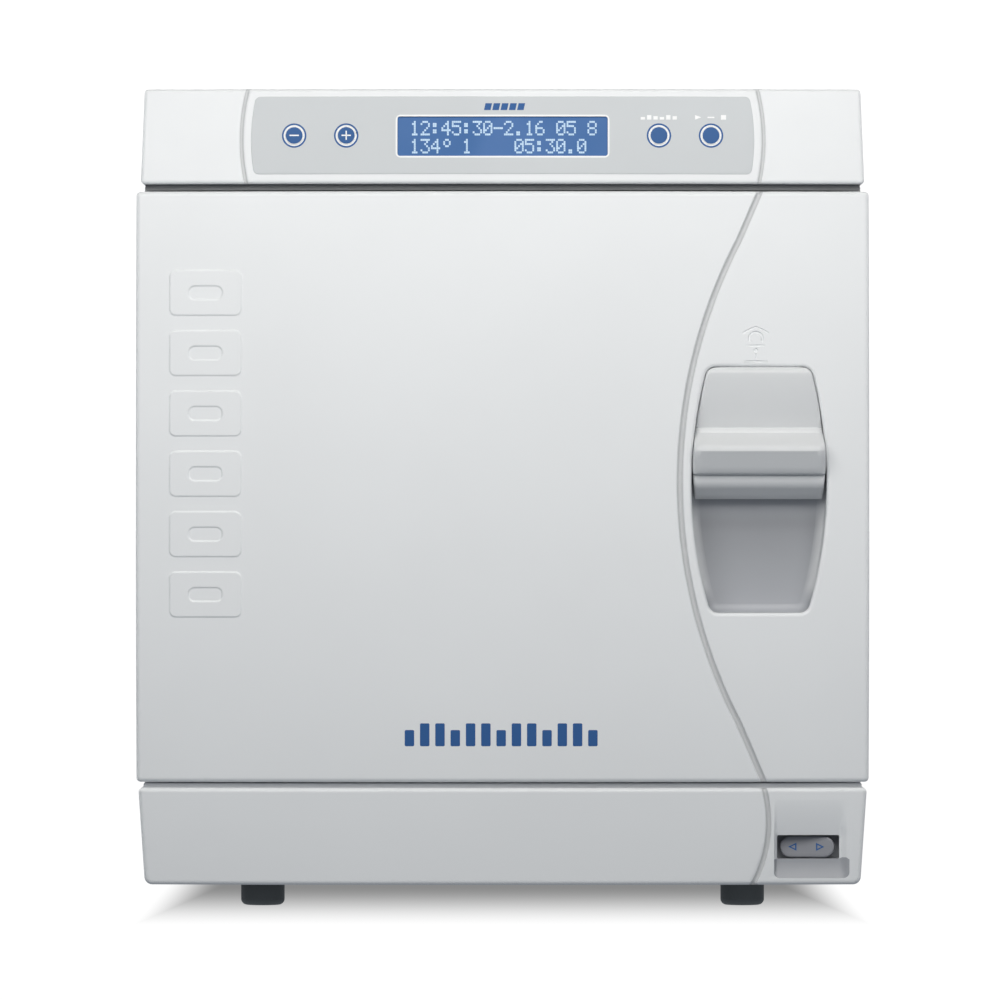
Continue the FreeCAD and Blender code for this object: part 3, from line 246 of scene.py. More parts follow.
class Form:
    """Points and faces gathered in millimetres, then turned into one piece."""

    def __init__(self):
        self.points = []
        self.faces = []
        self.finishes = []

    def add(self, points, faces, flip=False, finish=0):
        start = len(self.points)
        self.points += [tuple(map(float, point)) for point in points]
        for face in faces:
            face = tuple(start + corner for corner in face)
            self.faces.append(face[::-1] if flip else face)
            self.finishes.append(finish)

    def band(self, first, second, closed=True, flip=False, finish=0):
        """Quads between two rows of points of the same length."""
        count = len(first)
        faces = [(k, (k + 1) % count, count + (k + 1) % count, count + k)
                 for k in range(count if closed else count - 1)]
        self.add(list(first) + list(second), faces, flip, finish)

    def bands(self, rows, closed=True, flip=False):
        for first, second in zip(rows, rows[1:]):
            self.band(first, second, closed, flip)

    def skin(self, outline, holes, guides, dots, height, flip=False, finish=0):
        """A sheet over an outline: guides are polylines that its edges follow.

        The height is a number or a function of X and Z. The finish is a number, or a function
        that gives one for each face centre."""
        spots, edges = [], []
        for line, closed in [(outline, True)] + [(hole, True) for hole in holes] + guides:
            line = [tuple(map(float, spot)) for spot in line]
            keep = [True] * len(line) if closed else clear_of(line, outline, holes, GUIDE_GAP)
            names = {}
            for index, (spot, wanted) in enumerate(zip(line, keep)):
                if wanted:
                    names[index] = len(spots)
                    spots.append(spot)
            last = len(line) if closed else len(line) - 1
            for index in range(last):
                after = (index + 1) % len(line)
                if index in names and after in names:
                    edges.append((names[index], names[after]))
        if len(dots):
            dots = np.asarray(dots, float)
            dots = dots[clear_of(dots, outline, holes, DOT_GAP)]
            for line, closed in guides:
                if len(dots):
                    dots = dots[distance(dots, line, closed) > DOT_GUIDE_GAP]
            spots += [tuple(dot) for dot in dots]
        flat, _, triangles, *_ = delaunay_2d_cdt([Vector(spot) for spot in spots], edges, [], 0,
                                                 1e-5)
        flat = np.array([tuple(spot) for spot in flat])
        triangles = np.array(triangles)
        centres = flat[triangles].mean(1)
        keep = within(centres, outline)
        for hole in holes:
            keep &= ~within(centres, hole)
        spots = lift(flat, height)
        numbers = finish(centres) if callable(finish) else np.full(len(centres), finish)
        for number in sorted(set(numbers.tolist())):
            self.add(spots, triangles[keep & (numbers == number)].tolist(), flip, number)

    def piece(self, name, body, finishes, stands_for=(), angle=40.0, closed=True):
        """Make the object, let it ride on a body and stand for CAD nodes."""
        mesh = bpy.data.meshes.new(name)
        mesh.from_pydata([(x * MM, y * MM, z * MM) for x, y, z in self.points], [], self.faces)
        mesh.polygons.foreach_set("material_index", self.finishes)
        work = bmesh.new()
        work.from_mesh(mesh)
        bmesh.ops.remove_doubles(work, verts=work.verts, dist=2e-6)
        bmesh.ops.dissolve_degenerate(work, edges=work.edges, dist=1e-7)
        if closed:
            bmesh.ops.recalc_face_normals(work, faces=work.faces)
        work.to_mesh(mesh)
        work.free()
        mesh.polygons.foreach_set("use_smooth", [True] * len(mesh.polygons))
        mesh.set_sharp_from_angle(angle=math.radians(angle))
        obj = bpy.data.objects.new(name, mesh)
        scene.collection.objects.link(obj)
        for finish in finishes:
            mesh.materials.append(LOOKS[finish])
        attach(obj, body)
        if stands_for:
            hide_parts(*stands_for)


def shell(form, outline, inner, holes, guides, dots, height, rear, finish):
    """A hollow moulding, open behind: front skin with its finish, walls and back skin."""
    def inner_height(x, z):
        return front(x, z, WALL)

    form.skin(outline, holes, guides, dots, height, finish=finish)
    form.skin(inner, holes, [], dots, inner_height, flip=True)
    form.skin(outline, [inner], [], [], rear, flip=True)
    form.band(lift(outline, height), lift(outline, rear))
    form.band(lift(inner, inner_height), lift(inner, rear), flip=True)
    for hole in holes:
        form.band(lift(hole, height), lift(hole, inner_height), flip=True)


def field(left, right, low, high, pitch):
    """A staggered grid of points."""
    return [(x, z) for row, z in enumerate(np.arange(low, high, pitch))
            for x in np.arange(left + (row % 2) * pitch / 2, right, pitch)]


# ------------ materials


LOOKS = {}


def new_node(tree, kind, **inputs):
    """A shader node of a tree, with its inputs set to numbers or linked to sockets."""
    node = tree.nodes.new("ShaderNode" + kind)
    for name, given in inputs.items():
        socket = node.inputs[name.replace("_", " ")]
        if isinstance(given, bpy.types.NodeSocket):
            tree.links.new(given, socket)
        else:
            socket.default_value = given
    return node


class Nodes:
    """A material in LOOKS with one Principled shader, and short ways to add texture nodes."""

    def __init__(self, name, colour, rough, metal=0.0, **extras):
        LOOKS[name] = self.made = bpy.data.materials.new(name)
        self.made.use_nodes = True
        self.made.diffuse_color = (*colour, 1)
        self.tree = self.made.node_tree
        self.shader = self.tree.nodes["Principled BSDF"]
        self.colour = colour
        self.shader.inputs["Base Color"].default_value = (*colour, 1)
        self.shader.inputs["Roughness"].default_value = rough
        self.shader.inputs["Metallic"].default_value = metal
        for socket, number in extras.items():
            self.shader.inputs[socket.replace("_", " ")].default_value = number
        self.place = new_node(self.tree, "TexCoord").outputs["Object"]
        self.normal = None

    def link(self, source, target):
        self.tree.links.new(source, target)

    def scaled(self, scale):
        """Object coordinates stretched along each axis."""
        return new_node(self.tree, "Mapping", Vector=self.place, Scale=scale).outputs["Vector"]

    def noise(self, scale, detail=2.0, stretch=None):
        source = self.scaled(stretch) if stretch else self.place
        texture = new_node(self.tree, "TexNoise", Vector=source, Scale=scale, Detail=detail)
        return texture.outputs["Fac"]

    def cells(self, scale):
        texture = new_node(self.tree, "TexVoronoi", Vector=self.place, Scale=scale)
        return texture.outputs["Distance"]

    def ranged(self, source, low, high, first=0.3, last=0.7, blend="LINEAR"):
        """The source's span from first to last, stretched to go from low to high."""
        node = new_node(self.tree, "MapRange", Value=source, From_Min=first, From_Max=last,
                        To_Min=low, To_Max=high)
        node.interpolation_type = blend
        return node.outputs["Result"]

    def tint(self, source, other, first=0.3, last=0.7):
        """Blend the base colour towards another one where the source is high."""
        blend = self.tree.nodes.new("ShaderNodeMix")
        blend.data_type = "RGBA"
        socket = self.shader.inputs["Base Color"]
        if socket.links:
            self.link(socket.links[0].from_socket, blend.inputs["A"])
        else:
            blend.inputs["A"].default_value = (*self.colour, 1)
        blend.inputs["B"].default_value = (*other, 1)
        self.link(self.ranged(source, 0, 1, first, last), blend.inputs["Factor"])
        self.link(blend.outputs["Result"], socket)

    def axis(self, name):
        """One object coordinate, in metres."""
        return new_node(self.tree, "SeparateXYZ", Vector=self.place).outputs[name]

    def maths(self, operation, *terms):
        """A maths node over sockets and numbers."""
        node = self.tree.nodes.new("ShaderNodeMath")
        node.operation = operation
        for term, socket in zip(terms, node.inputs):
            if isinstance(term, float):
                socket.default_value = term
            else:
                self.link(term, socket)
        return node.outputs[0]

    def gloss(self, source, low, high):
        """Roughness that wanders between two numbers."""
        self.link(self.ranged(source, low, high), self.shader.inputs["Roughness"])

    def bump(self, source, height, strength=1.0):
        """Fine relief of a height in millimetres."""
        relief = new_node(self.tree, "Bump", Height=source, Distance=height * MM,
                          Strength=strength)
        if self.normal:
            self.link(self.normal, relief.inputs["Normal"])
        self.normal = relief.outputs["Normal"]
        self.link(self.normal, self.shader.inputs["Normal"])


def shade(colour, factor):
    return tuple(channel * factor for channel in colour)


def moulded_plastic(name, colour, rough, grain=0.012, **extras):
    """Satin moulded plastic: spark-eroded grain, slow colour drift, a little uneven gloss."""
    look = Nodes(name, colour, rough, **extras)
    look.tint(look.noise(9.0, 3.0), shade(colour, 0.975))
    look.gloss(look.noise(60.0, 4.0), rough - 0.04, rough + 0.05)
    look.bump(look.noise(1900.0, 3.0), grain, 0.5)
    look.bump(look.noise(14.0, 1.0), 0.05, 0.25)


def painted_shade_plastic(fades, floor_y, reach, low_z, high_z):
    """Grey moulded plastic with painted shade and light, by rows of top, bottom, curve and factor:
    lighter behind the grip, darkest just under its ridge and paler towards the bottom.

    Painted light pales it up the side walls, partly as the white wall of the door moulding, over a
    reach from the floor, but not near their lower end."""
    # Painted light: the base is paler than the recess's grey, lifting the grip's shadow just under
    # its ridge.
    look = Nodes("recess_grey_painted_shade", shade(BOWL_GREY_AND_PAINTED_SHADE, 1.25), 0.45)
    look.tint(look.noise(9.0, 3.0), shade(BOWL_GREY_AND_PAINTED_SHADE, 1.22))
    for top, bottom, curve, factor in fades:
        fade = look.ranged(look.axis("Z"), 0, 1, top * MM, bottom * MM, curve)
        look.tint(fade, shade(BOWL_GREY_AND_PAINTED_SHADE, factor), 0, 1)
    rise = look.ranged(look.axis("Y"), 0, 1, floor_y * MM, (floor_y - reach) * MM)
    above = look.ranged(look.axis("Z"), 0, 1, low_z * MM, high_z * MM, "SMOOTHSTEP")
    look.tint(look.maths("MULTIPLY", look.maths("POWER", rise, 0.5), above), shade(WHITE, 0.85),
              0, 1)
    look.gloss(look.noise(60.0, 4.0), 0.41, 0.5)
    look.bump(look.noise(1900.0, 3.0), 0.012, 0.5)


def painted_steel(name, colour, rough=0.42):
    """Powder coat on sheet steel, with orange peel."""
    look = Nodes(name, colour, rough, Coat_Weight=0.15, Coat_Roughness=0.25)
    look.tint(look.noise(6.0, 3.0), shade(colour, 0.965))
    look.gloss(look.noise(90.0, 3.0), rough - 0.06, rough + 0.06)
    look.bump(look.noise(620.0, 2.0), 0.03, 0.6)


def brushed_metal(name, colour, rough, stretch, lines=900.0, tint=0.85):
    """Metal with fine lines along one axis."""
    look = Nodes(name, colour, rough, 1.0)
    grain = look.noise(lines, 3.0, stretch)
    look.tint(grain, shade(colour, tint))
    look.gloss(grain, rough - 0.07, rough + 0.08)
    look.bump(grain, 0.01, 0.4)


def spangled_zinc(name, colour, rough):
    look = Nodes(name, colour, rough, 1.0)
    flakes = look.cells(140.0)
    look.tint(flakes, shade(colour, 0.72), 0.1, 0.8)
    look.gloss(look.noise(220.0, 3.0), rough - 0.08, rough + 0.1)
    look.bump(look.noise(500.0, 2.0), 0.008, 0.4)


def soft_rubber(name, colour, rough, grain=0.02):
    look = Nodes(name, colour, rough, Sheen_Weight=0.08, Sheen_Roughness=0.5)
    look.tint(look.noise(40.0, 4.0), shade(colour, 1.35))
    look.gloss(look.noise(160.0, 3.0), rough - 0.07, rough + 0.07)
    look.bump(look.noise(1500.0, 3.0), grain, 0.6)


def see_through(name, colour, rough, clear, ior):
    look = Nodes(name, colour, rough, Transmission_Weight=clear, IOR=ior)
    look.tint(look.noise(12.0, 2.0), shade(colour, 0.93))
    look.gloss(look.noise(70.0, 3.0), rough - 0.03, rough + 0.04)
    look.bump(look.noise(25.0, 2.0), 0.03, 0.3)


def felt(name, colour):
    look = Nodes(name, colour, 0.95, Sheen_Weight=0.3, Sheen_Roughness=0.6)
    fibres = look.noise(900.0, 6.0, (1.0, 0.25, 1.0))
    look.tint(fibres, shade(colour, 0.7))
    look.bump(fibres, 0.25, 0.9)
    look.bump(look.noise(60.0, 3.0), 1.2, 0.5)


def circuit(name):
    look = Nodes(name, (0.03, 0.16, 0.08), 0.35)
    look.tint(look.cells(160.0), (0.09, 0.3, 0.14), 0.45, 0.5)
    look.tint(look.noise(420.0, 1.0, (1.0, 0.1, 1.0)), (0.45, 0.4, 0.28), 0.72, 0.74)
    look.gloss(look.noise(60.0, 2.0), 0.3, 0.45)
    look.bump(look.cells(160.0), 0.05, 0.6)


WHITE = (0.806, 0.818, 0.828)
# The recesses' grey: partly their own grey tint, partly painted shade of the recesses.
BOWL_GREY_AND_PAINTED_SHADE = (0.375, 0.385, 0.41)

# The record's slots, which the CAD nodes take.
moulded_plastic("cover_white", WHITE, 0.4, Specular_IOR_Level=0.35)
moulded_plastic("bowl_grey", BOWL_GREY_AND_PAINTED_SHADE, 0.45)
painted_steel("casing_paint", (0.8, 0.8, 0.785))
moulded_plastic("fascia_grey", (0.56, 0.57, 0.58), 0.45, 0.02)
spangled_zinc("zinc_steel", (0.6, 0.61, 0.62), 0.38)
brushed_metal("stainless", (0.66, 0.66, 0.65), 0.24, (1.0, 0.04, 1.0))
brushed_metal("machined_steel", (0.56, 0.56, 0.55), 0.28, (1.0, 1.0, 0.05))
brushed_metal("bronze", (0.55, 0.36, 0.17), 0.32, (1.0, 1.0, 0.1))
brushed_metal("tray_aluminium", (0.72, 0.72, 0.71), 0.3, (0.05, 1.0, 1.0), 700.0, 0.92)
moulded_plastic("silicone", (0.62, 0.66, 0.68), 0.5, 0.01, Subsurface_Weight=0.12,
                Subsurface_Scale=0.004)
soft_rubber("foot_rubber", (0.1, 0.108, 0.11), 0.62)
moulded_plastic("membrane_grey", (0.6, 0.62, 0.633), 0.5, 0.02, Specular_IOR_Level=0.2)
moulded_plastic("key_blue", (0.042, 0.12, 0.31), 0.5, 0.008, Specular_IOR_Level=0.15)
see_through("display_glass", (0.95, 0.97, 1.0), 0.06, 1.0, 1.45)
circuit("circuit_board")
moulded_plastic("black_plastic", (0.03, 0.03, 0.032), 0.45, 0.02)
brushed_metal("heater_mica", (0.5, 0.42, 0.3), 0.4, (1.0, 0.2, 1.0))
felt("insulation_felt", (0.62, 0.6, 0.55))
see_through("clear_tank", (0.93, 0.96, 0.97), 0.14, 0.55, 1.49)
brushed_metal("copper_pipe", (0.72, 0.39, 0.25), 0.25, (1.0, 1.0, 0.3))
for row in frame["record"]["subparts"]:
    mesh = frame["nodes"][row["node"]].data
    mesh.materials.clear()
    mesh.materials.append(LOOKS[row["material_slot"]])

# Looks that are no slot of the record.
# Painted shade in the bottom of the grooves, a darker copy of the cover white.
moulded_plastic("cove_painted_shade", shade(WHITE, 0.72), 0.45)
moulded_plastic("grip_white", shade(WHITE, 0.87), 0.4, Specular_IOR_Level=0.35)
moulded_plastic("rocker_grey", (0.27, 0.275, 0.3), 0.45)
# Painted shade for the lips in the seams over and under the door.
moulded_plastic("seam_painted_shade_grey", (0.47, 0.48, 0.5), 0.5)
moulded_plastic("seam_painted_shade_dark", (0.12, 0.125, 0.13), 0.5)
moulded_plastic("print_white", (0.88, 0.88, 0.88), 0.4, 0.004)
moulded_plastic("print_blue", (0.038, 0.115, 0.31), 0.5, 0.004, Specular_IOR_Level=0.15)
lcd_blue = Nodes("lcd_blue", (0.055, 0.145, 0.35), 0.45, Specular_IOR_Level=0.12)
lcd_blue.tint(lcd_blue.noise(26.0, 1.0), (0.075, 0.17, 0.39), 0.35, 0.65)
lcd_blue.gloss(lcd_blue.noise(90.0, 3.0), 0.4, 0.5)
lcd_blue.bump(lcd_blue.noise(1200.0, 2.0), 0.004, 0.4)
lcd_dots = Nodes("lcd_dots", (0.42, 0.6, 0.78), 0.3)
lcd_dots.tint(lcd_dots.noise(300.0, 2.0), (0.5, 0.68, 0.86))
lcd_dots.gloss(lcd_dots.noise(200.0, 2.0), 0.25, 0.36)

# The cover white and its painted shade for the grooves.
COVER = ["cover_white", "cove_painted_shade"]

# ------------ handle recess outline

HANDLE_X, HANDLE_MID, HANDLE_LOW, HANDLE_HIGH = 148.5, 247.0, 172.7, 315.1
HANDLE_HALF, BARREL, HANDLE_CORNER, BOWL_FLOOR = 39.2, 252.0, 6.0, -309.5


def barrel_half(z):
    """Half width of the handle recess at a height."""
    return np.sqrt(BARREL ** 2 - (z - HANDLE_MID) ** 2) - (BARREL - HANDLE_HALF)


def barrel(inset=0.0, corner=HANDLE_CORNER):
    """The handle recess outline, moved inwards."""
    return bulging(HANDLE_X, HANDLE_MID, BARREL - HANDLE_HALF, BARREL - inset, HANDLE_LOW + inset,
                   HANDLE_HIGH - inset, max(corner - inset, 0.3), 10, 30, 12)


# ------------ door cover

EDGE, WALL = 2.5, 3.5
DOOR, DOOR_REAR = (-212.5, 74.4, 212.5, 417.0), -283.0
GROOVE_HALF, GROOVE_DEPTH = 2.2, 1.9
LINE_X, LINE_Z, LINE_R, LINE_SWEEP, LINE_LEAN = 404.9, 248.3, 302.3, 27.5, math.radians(23.5)


def run_out(spot, up):
    """Straight end of the dividing line, on to the door's edge, with a point every 2 mm."""
    return [(spot[0] + math.sin(LINE_LEAN) * k * 2.0, spot[1] + up * math.cos(LINE_LEAN) * k * 2.0)
            for k in range(1, 26)]


line_arc = side_arc(LINE_X, LINE_Z, LINE_R, LINE_SWEEP, 121, -1)
door_line = run_out(line_arc[0], -1)[::-1] + line_arc + run_out(line_arc[-1], 1)

# A column of raised frames, each an outline and its hollow.
FRAMES, FRAME_GAP, FRAME_CORNER, HOLLOW_X, HOLLOW_Z = 6, 8.0, 4.0, 11.0, 9.0
ORNAMENT_X, ORNAMENT_Z = (-193.3, -150.9), (169.8, 371.5)
ORNAMENT_RELIEF, ORNAMENT_SLOPE, ORNAMENT_INSETS = 0.6, 0.9, (-0.45, 0.0, 0.3, 0.6, 0.9, 1.35)
frame_height = (ORNAMENT_Z[1] - ORNAMENT_Z[0] - (FRAMES - 1) * FRAME_GAP) / FRAMES
ornament = []
for index in range(FRAMES):
    low = ORNAMENT_Z[0] + index * (frame_height + FRAME_GAP)
    ornament.append([rounded_box((ORNAMENT_X[0] + in_x, low + in_z, ORNAMENT_X[1] - in_x,
                                  low + frame_height - in_z), FRAME_CORNER, step=3)
                     for in_x, in_z in ((0, 0), (HOLLOW_X, HOLLOW_Z))])


def stroke(points, half):
    """The outline of a thick open line with square ends."""
    return np.concatenate([alongside(points, -half), alongside(points, half)[::-1]])


ICON_X, ICON_DEPTH, ICON_SLOPE, ICON_INSETS = 146.6, 0.75, 0.4, (-0.15, 0.0, 0.2, 0.4)
shackle = [(3.9 * math.cos(a), 331.6 + 3.6 * math.sin(a))
           for a in np.linspace(math.radians(-35), math.radians(215), 19)]
# Lines about ICON_X and their half widths: a roof, an open padlock and an arrow's foot.
ICON_STROKES = (([(-7.6, 334.6), (-3.8, 336.6), (0, 338.2), (3.8, 336.6), (7.6, 334.6)], 0.7),
                (shackle, 0.75), ([(-5.4, 327.4), (0, 327.4), (5.4, 327.4)], 0.7),
                ([(0, 323.2), (0, 321.6), (0, 320.2)], 0.55),
                ([(-7.0, 318.2), (0, 318.2), (7.0, 318.2)], 0.7))
icon = [stroke([(ICON_X + x, z) for x, z in line], half) for line, half in ICON_STROKES]
icon.insert(3, circle(ICON_X, 324.6, 1.35, 16))


def relief(points, outlines, slope):
    """1 well inside the outlines, 0 outside, rising over the slope."""
    rise = np.zeros(len(points))
    for outline in outlines:
        inside = within(points, outline)
        if inside.any():
            rise[inside] = np.maximum(rise[inside],
                                      smooth(distance(points[inside], outline) / slope))
    return rise


DOOR_OUTLINE = rounded_box(DOOR, EDGE)
RECESS = barrel()
RECESS_RIM = 2.2


def groove(points, line, half, depth):
    """Depth of a soft cove that follows a line."""
    away = distance(points, line, closed=False)
    return depth * np.where(away < half, np.cos(np.minimum(away / half, 1) * math.pi / 2) ** 1.3, 0)


def door_height(x, z):
    points = np.stack([x, z], 1)
    y = front(x, z)
    y = y + rim(distance(points, DOOR_OUTLINE), EDGE)
    y = y + rim(distance(points, RECESS), RECESS_RIM)
    y = y + groove(points, door_line, GROOVE_HALF, GROOVE_DEPTH)
    raised = relief(points, [outer for outer, _ in ornament], ORNAMENT_SLOPE)
    for _, hollow in ornament:
        inside = within(points, hollow)
        raised[inside] *= 1 - smooth(distance(points[inside], hollow) / ORNAMENT_SLOPE)
    y = y - ORNAMENT_RELIEF * raised
    return y + ICON_DEPTH * relief(points, icon, ICON_SLOPE)


def rim_guides(make, radius):
    """Closed guide loops that follow a rounded rim; make gives the loop at an inset."""
    return [(make(inset), True) for inset in rim_insets(radius)]


def painted_shade_in_cove(lines, half):
    """Painted shade: finish 1, a darker cover white, in the bottom of the coves along some lines, 0
    elsewhere.
    """
    def finish(centres):
        nearest = np.min([distance(centres, line, closed=False) for line in lines], axis=0)
        return (nearest < 0.75 * half).astype(int)
    return finish


def cove_guides(line, half, extra=1.2):
    """Open guides along a cove of a half width, with one more on the flat at each side."""
    sides = [sign * half * part for part in (0.25, 0.5, 0.75, 0.95) for sign in (-1, 1)]
    sides += [0.0, half + extra, -half - extra]
    return [(alongside(line, shift), False) for shift in sorted(sides)]


def inner_loop(outline, inset):
    """A closed outline moved inwards, point by point."""
    points = np.asarray(outline, float)
    slopes = np.roll(points, -1, 0) - np.roll(points, 1, 0)
    slopes /= np.maximum(np.linalg.norm(slopes, axis=1)[:, None], 1e-9)
    return points + np.stack([-slopes[:, 1], slopes[:, 0]], 1) * inset


door_guides = rim_guides(lambda inset: rounded_box(DOOR, EDGE, inset), EDGE)
door_guides += rim_guides(lambda inset: barrel(-inset), RECESS_RIM)
door_guides += cove_guides(door_line, GROOVE_HALF)
door_guides += [(inner_loop(line, inset), True) for pair in ornament for inset in ORNAMENT_INSETS
                for line in pair]
door_guides += [(inner_loop(mark, inset), True) for mark in icon for inset in ICON_INSETS]
icon_dots = field(ICON_X - 10, ICON_X + 10, 315, 341, 0.42)

door = Form()
door_dots = field(DOOR[0] + 5, DOOR[2] - 4, DOOR[1] + 4, DOOR[3] - 3, 7.0) + icon_dots
shell(door, DOOR_OUTLINE, rounded_box(grown(DOOR, -WALL), 0.6), [RECESS], door_guides, door_dots,
      door_height, DOOR_REAR, painted_shade_in_cove([door_line], GROOVE_HALF))
door.piece("door_moulding", "door", COVER, ["door_cover"])

# ------------ handle recess

BOWL_FILLET = 5.0
BOWL_SLOT, BOWL_SLOT_DEPTH = (HANDLE_X - 9.0, 247.0, HANDLE_X + 9.0, 291.0), 2.4
# Painted shade and light of the handle recess: rows of top, bottom, curve and shade factor.
BOWL_PAINTED_SHADES = ((238.0, 222.0, "SMOOTHSTEP", 0.72), (228.0, 178.0, "LINEAR", 1.11))
# Painted light up the recess's side walls: reach from the floor, and the heights where it sets in.
WALL_PALE_REACH, WALL_PALE_LOW, WALL_PALE_HIGH = 2.5, 178.0, 190.0
bowl = Form()
rows = [lift(RECESS, lambda x, z: front(x, z) + RECESS_RIM - 0.05),
        lift(RECESS, BOWL_FLOOR - BOWL_FILLET)]
for turn in np.linspace(0, math.pi / 2, 7)[1:]:
    inset = BOWL_FILLET * (1 - math.cos(turn))
    rows.append(lift(barrel(inset, corner=BOWL_FILLET + 1.5),
                     BOWL_FLOOR - BOWL_FILLET + BOWL_FILLET * math.sin(turn)))
bowl.bands(rows, flip=True)
slot_hole = rounded_box(BOWL_SLOT, 1)
floor_line = [(x, z) for x, _, z in rows[-1]]
bowl.skin(floor_line, [slot_hole], [], field(HANDLE_X - 40, HANDLE_X + 40, 175, 315, 6.0),
          BOWL_FLOOR)
bowl.band(lift(slot_hole, BOWL_FLOOR), lift(slot_hole, BOWL_FLOOR + BOWL_SLOT_DEPTH), flip=True)
painted_shade_plastic(BOWL_PAINTED_SHADES, BOWL_FLOOR, WALL_PALE_REACH, WALL_PALE_LOW, WALL_PALE_HIGH)
bowl.piece("handle_recess", "door", ["recess_grey_painted_shade"], ["handle_bowl"], closed=False)

# ------------ sliding grip

GRIP_REAR, STEM_BACK, GRIP_CLEAR, GRIP_TRAVEL = -314.0, -303.0, 0.3, 24.0
STEM = box_corners(HANDLE_X - 4, 272.0, HANDLE_X + 7.5, 290.0)
# The grip's sides are rounded, and more so along the ridge, between two heights.
SIDE_ROUND, RIDGE_ROUND = 1.3, 4.2
RIDGE_LOW, RIDGE_FADE_IN, RIDGE_HIGH, RIDGE_FADE_OUT = 250.0, 6.0, 284.0, 10.0
ACROSS_STEPS = [0, 0.15, 0.5, 1.0, 1.7, 2.6, 3.8, 5.2, 7.0, *np.linspace(11, 33, 6)]


def arc(start, end, radius, turn, count):
    """Points on an arc; turn is 1 for counter-clockwise."""
    start, end = Vector(start), Vector(end)
    chord = end - start
    side = Vector((-chord.y, chord.x)).normalized() * turn
    centre = start + chord / 2 + side * math.sqrt(radius ** 2 - chord.length ** 2 / 4)
    first = math.atan2(start.y - centre.y, start.x - centre.x)
    last = math.atan2(end.y - centre.y, end.x - centre.x)
    swing = (last - first + math.pi) % (2 * math.pi) - math.pi
    return [(centre.x + radius * math.cos(first + swing * t),
             centre.y + radius * math.sin(first + swing * t)) for t in np.linspace(0, 1, count)]


# The grip's section from its top down, in Y and Z.
profile = (arc((-331.6, 315.0), (-334.4, 311.2), 3.9, 1, 7)
           + arc((-334.4, 311.2), (-327.2, 280.0), 100.0, 1, 14)[1:]
           + arc((-327.2, 280.0), (-329.6, 277.0), 3.4, 1, 5)[1:]
           + [(-336.0, 273.6)] + arc((-342.2, 270.4), (-344.8, 266.2), 4.0, 1, 7)
           + [(-342.4, 262.4), (-339.2, 257.4), (-337.0, 253.9), (-336.2, 253.3),
              (-334.0, 252.9), (-332.2, 252.5)]
           + arc((-332.7, 251.8), (-327.0, 243.6), 9.0, 1, 8)
           + [(-324.2, 241.3), (-321.2, 239.7), (-318.2, 238.8), (-316.0, 238.5)])
grip = Form()
edge_x, edge_z = np.array([spot for spot in barrel(GRIP_CLEAR) if spot[0] > HANDLE_X]).T
order = np.argsort(edge_z)
grip_rows = []
for y, z in profile[::-1]:
    half = float(np.interp(z, edge_z[order], edge_x[order])) - HANDLE_X
    half -= max(0.0, float(barrel_half(z) - barrel_half(z - GRIP_TRAVEL)))
    swell = smooth((z - RIDGE_LOW) / RIDGE_FADE_IN) * smooth((RIDGE_HIGH - z) / RIDGE_FADE_OUT)
    soft = SIDE_ROUND + RIDGE_ROUND * swell
    steps = np.minimum(ACROSS_STEPS, half * 0.97)
    fall = rim(steps, soft) * np.where(swell > 0.01, 0.75 + 0.25 * (1 - swell), 1.0)
    depth = np.minimum(y + fall, GRIP_REAR - 1)
    left = [(HANDLE_X - half + s, d, z) for s, d in zip(steps, depth)]
    right = [(HANDLE_X + half - s, d, z) for s, d in zip(steps, depth)]
    grip_rows.append(left + right[::-1])
grip.bands(grip_rows, closed=False)
backs = [[(x, GRIP_REAR, z) for x, _, z in row] for row in grip_rows]
grip.bands(backs, closed=False, flip=True)
for edge in (0, -1):
    grip.band([row[edge] for row in grip_rows], [row[edge] for row in backs], closed=False)
    grip.band(grip_rows[edge], backs[edge], closed=False)
grip.band(lift(STEM, GRIP_REAR), lift(STEM, STEM_BACK))
grip.skin(STEM, [], [], [], STEM_BACK, flip=True)
grip.piece("handle_grip", "lock_slide", ["grip_white"], ["slider_grip"], angle=32)

# ------------ hood

HOOD_LOW, HOOD_HIGH, HOOD_REAR, HOOD_EDGE, HOOD_RADIUS = 421.4, 476.7, -232.0, 2.0, 2.2
HOOD_CORNERS = [(-210.0, HOOD_LOW), (210.0, HOOD_LOW), (208.0, HOOD_HIGH), (-208.0, HOOD_HIGH)]
KEYS = {"minus": -120.9, "plus": -90.7, "program": 90.7, "start": 120.9}
KEY_Z, KEY_HOLE = 449.4, 5.4
WINDOW = (-61.0, 437.5, 61.0, 460.5)
HOOD_LINE_X, HOOD_LINE_Z, HOOD_LINE_R = 31.5, 447.0, 120.0
HOOD_GROOVE_HALF, HOOD_GROOVE_DEPTH = 1.5, 0.9
hood_lines = [side_arc(side * HOOD_LINE_X, HOOD_LINE_Z, HOOD_LINE_R, 20, 61, side)
              for side in (-1, 1)]


def hood_loop(inset=0.0):
    return rounded(HOOD_CORNERS, HOOD_RADIUS, inset, 5)


HOOD_OUTLINE = hood_loop()
window_line = rounded_box(WINDOW, 1.5, step=4)
key_lines = [circle(x, KEY_Z, KEY_HOLE) for x in KEYS.values()]


def hood_height(x, z):
    points = np.stack([x, z], 1)
    y = front(x, z) + rim(distance(points, HOOD_OUTLINE), HOOD_EDGE)
    for line in hood_lines:
        y = y + groove(points, line, HOOD_GROOVE_HALF, HOOD_GROOVE_DEPTH)
    return y


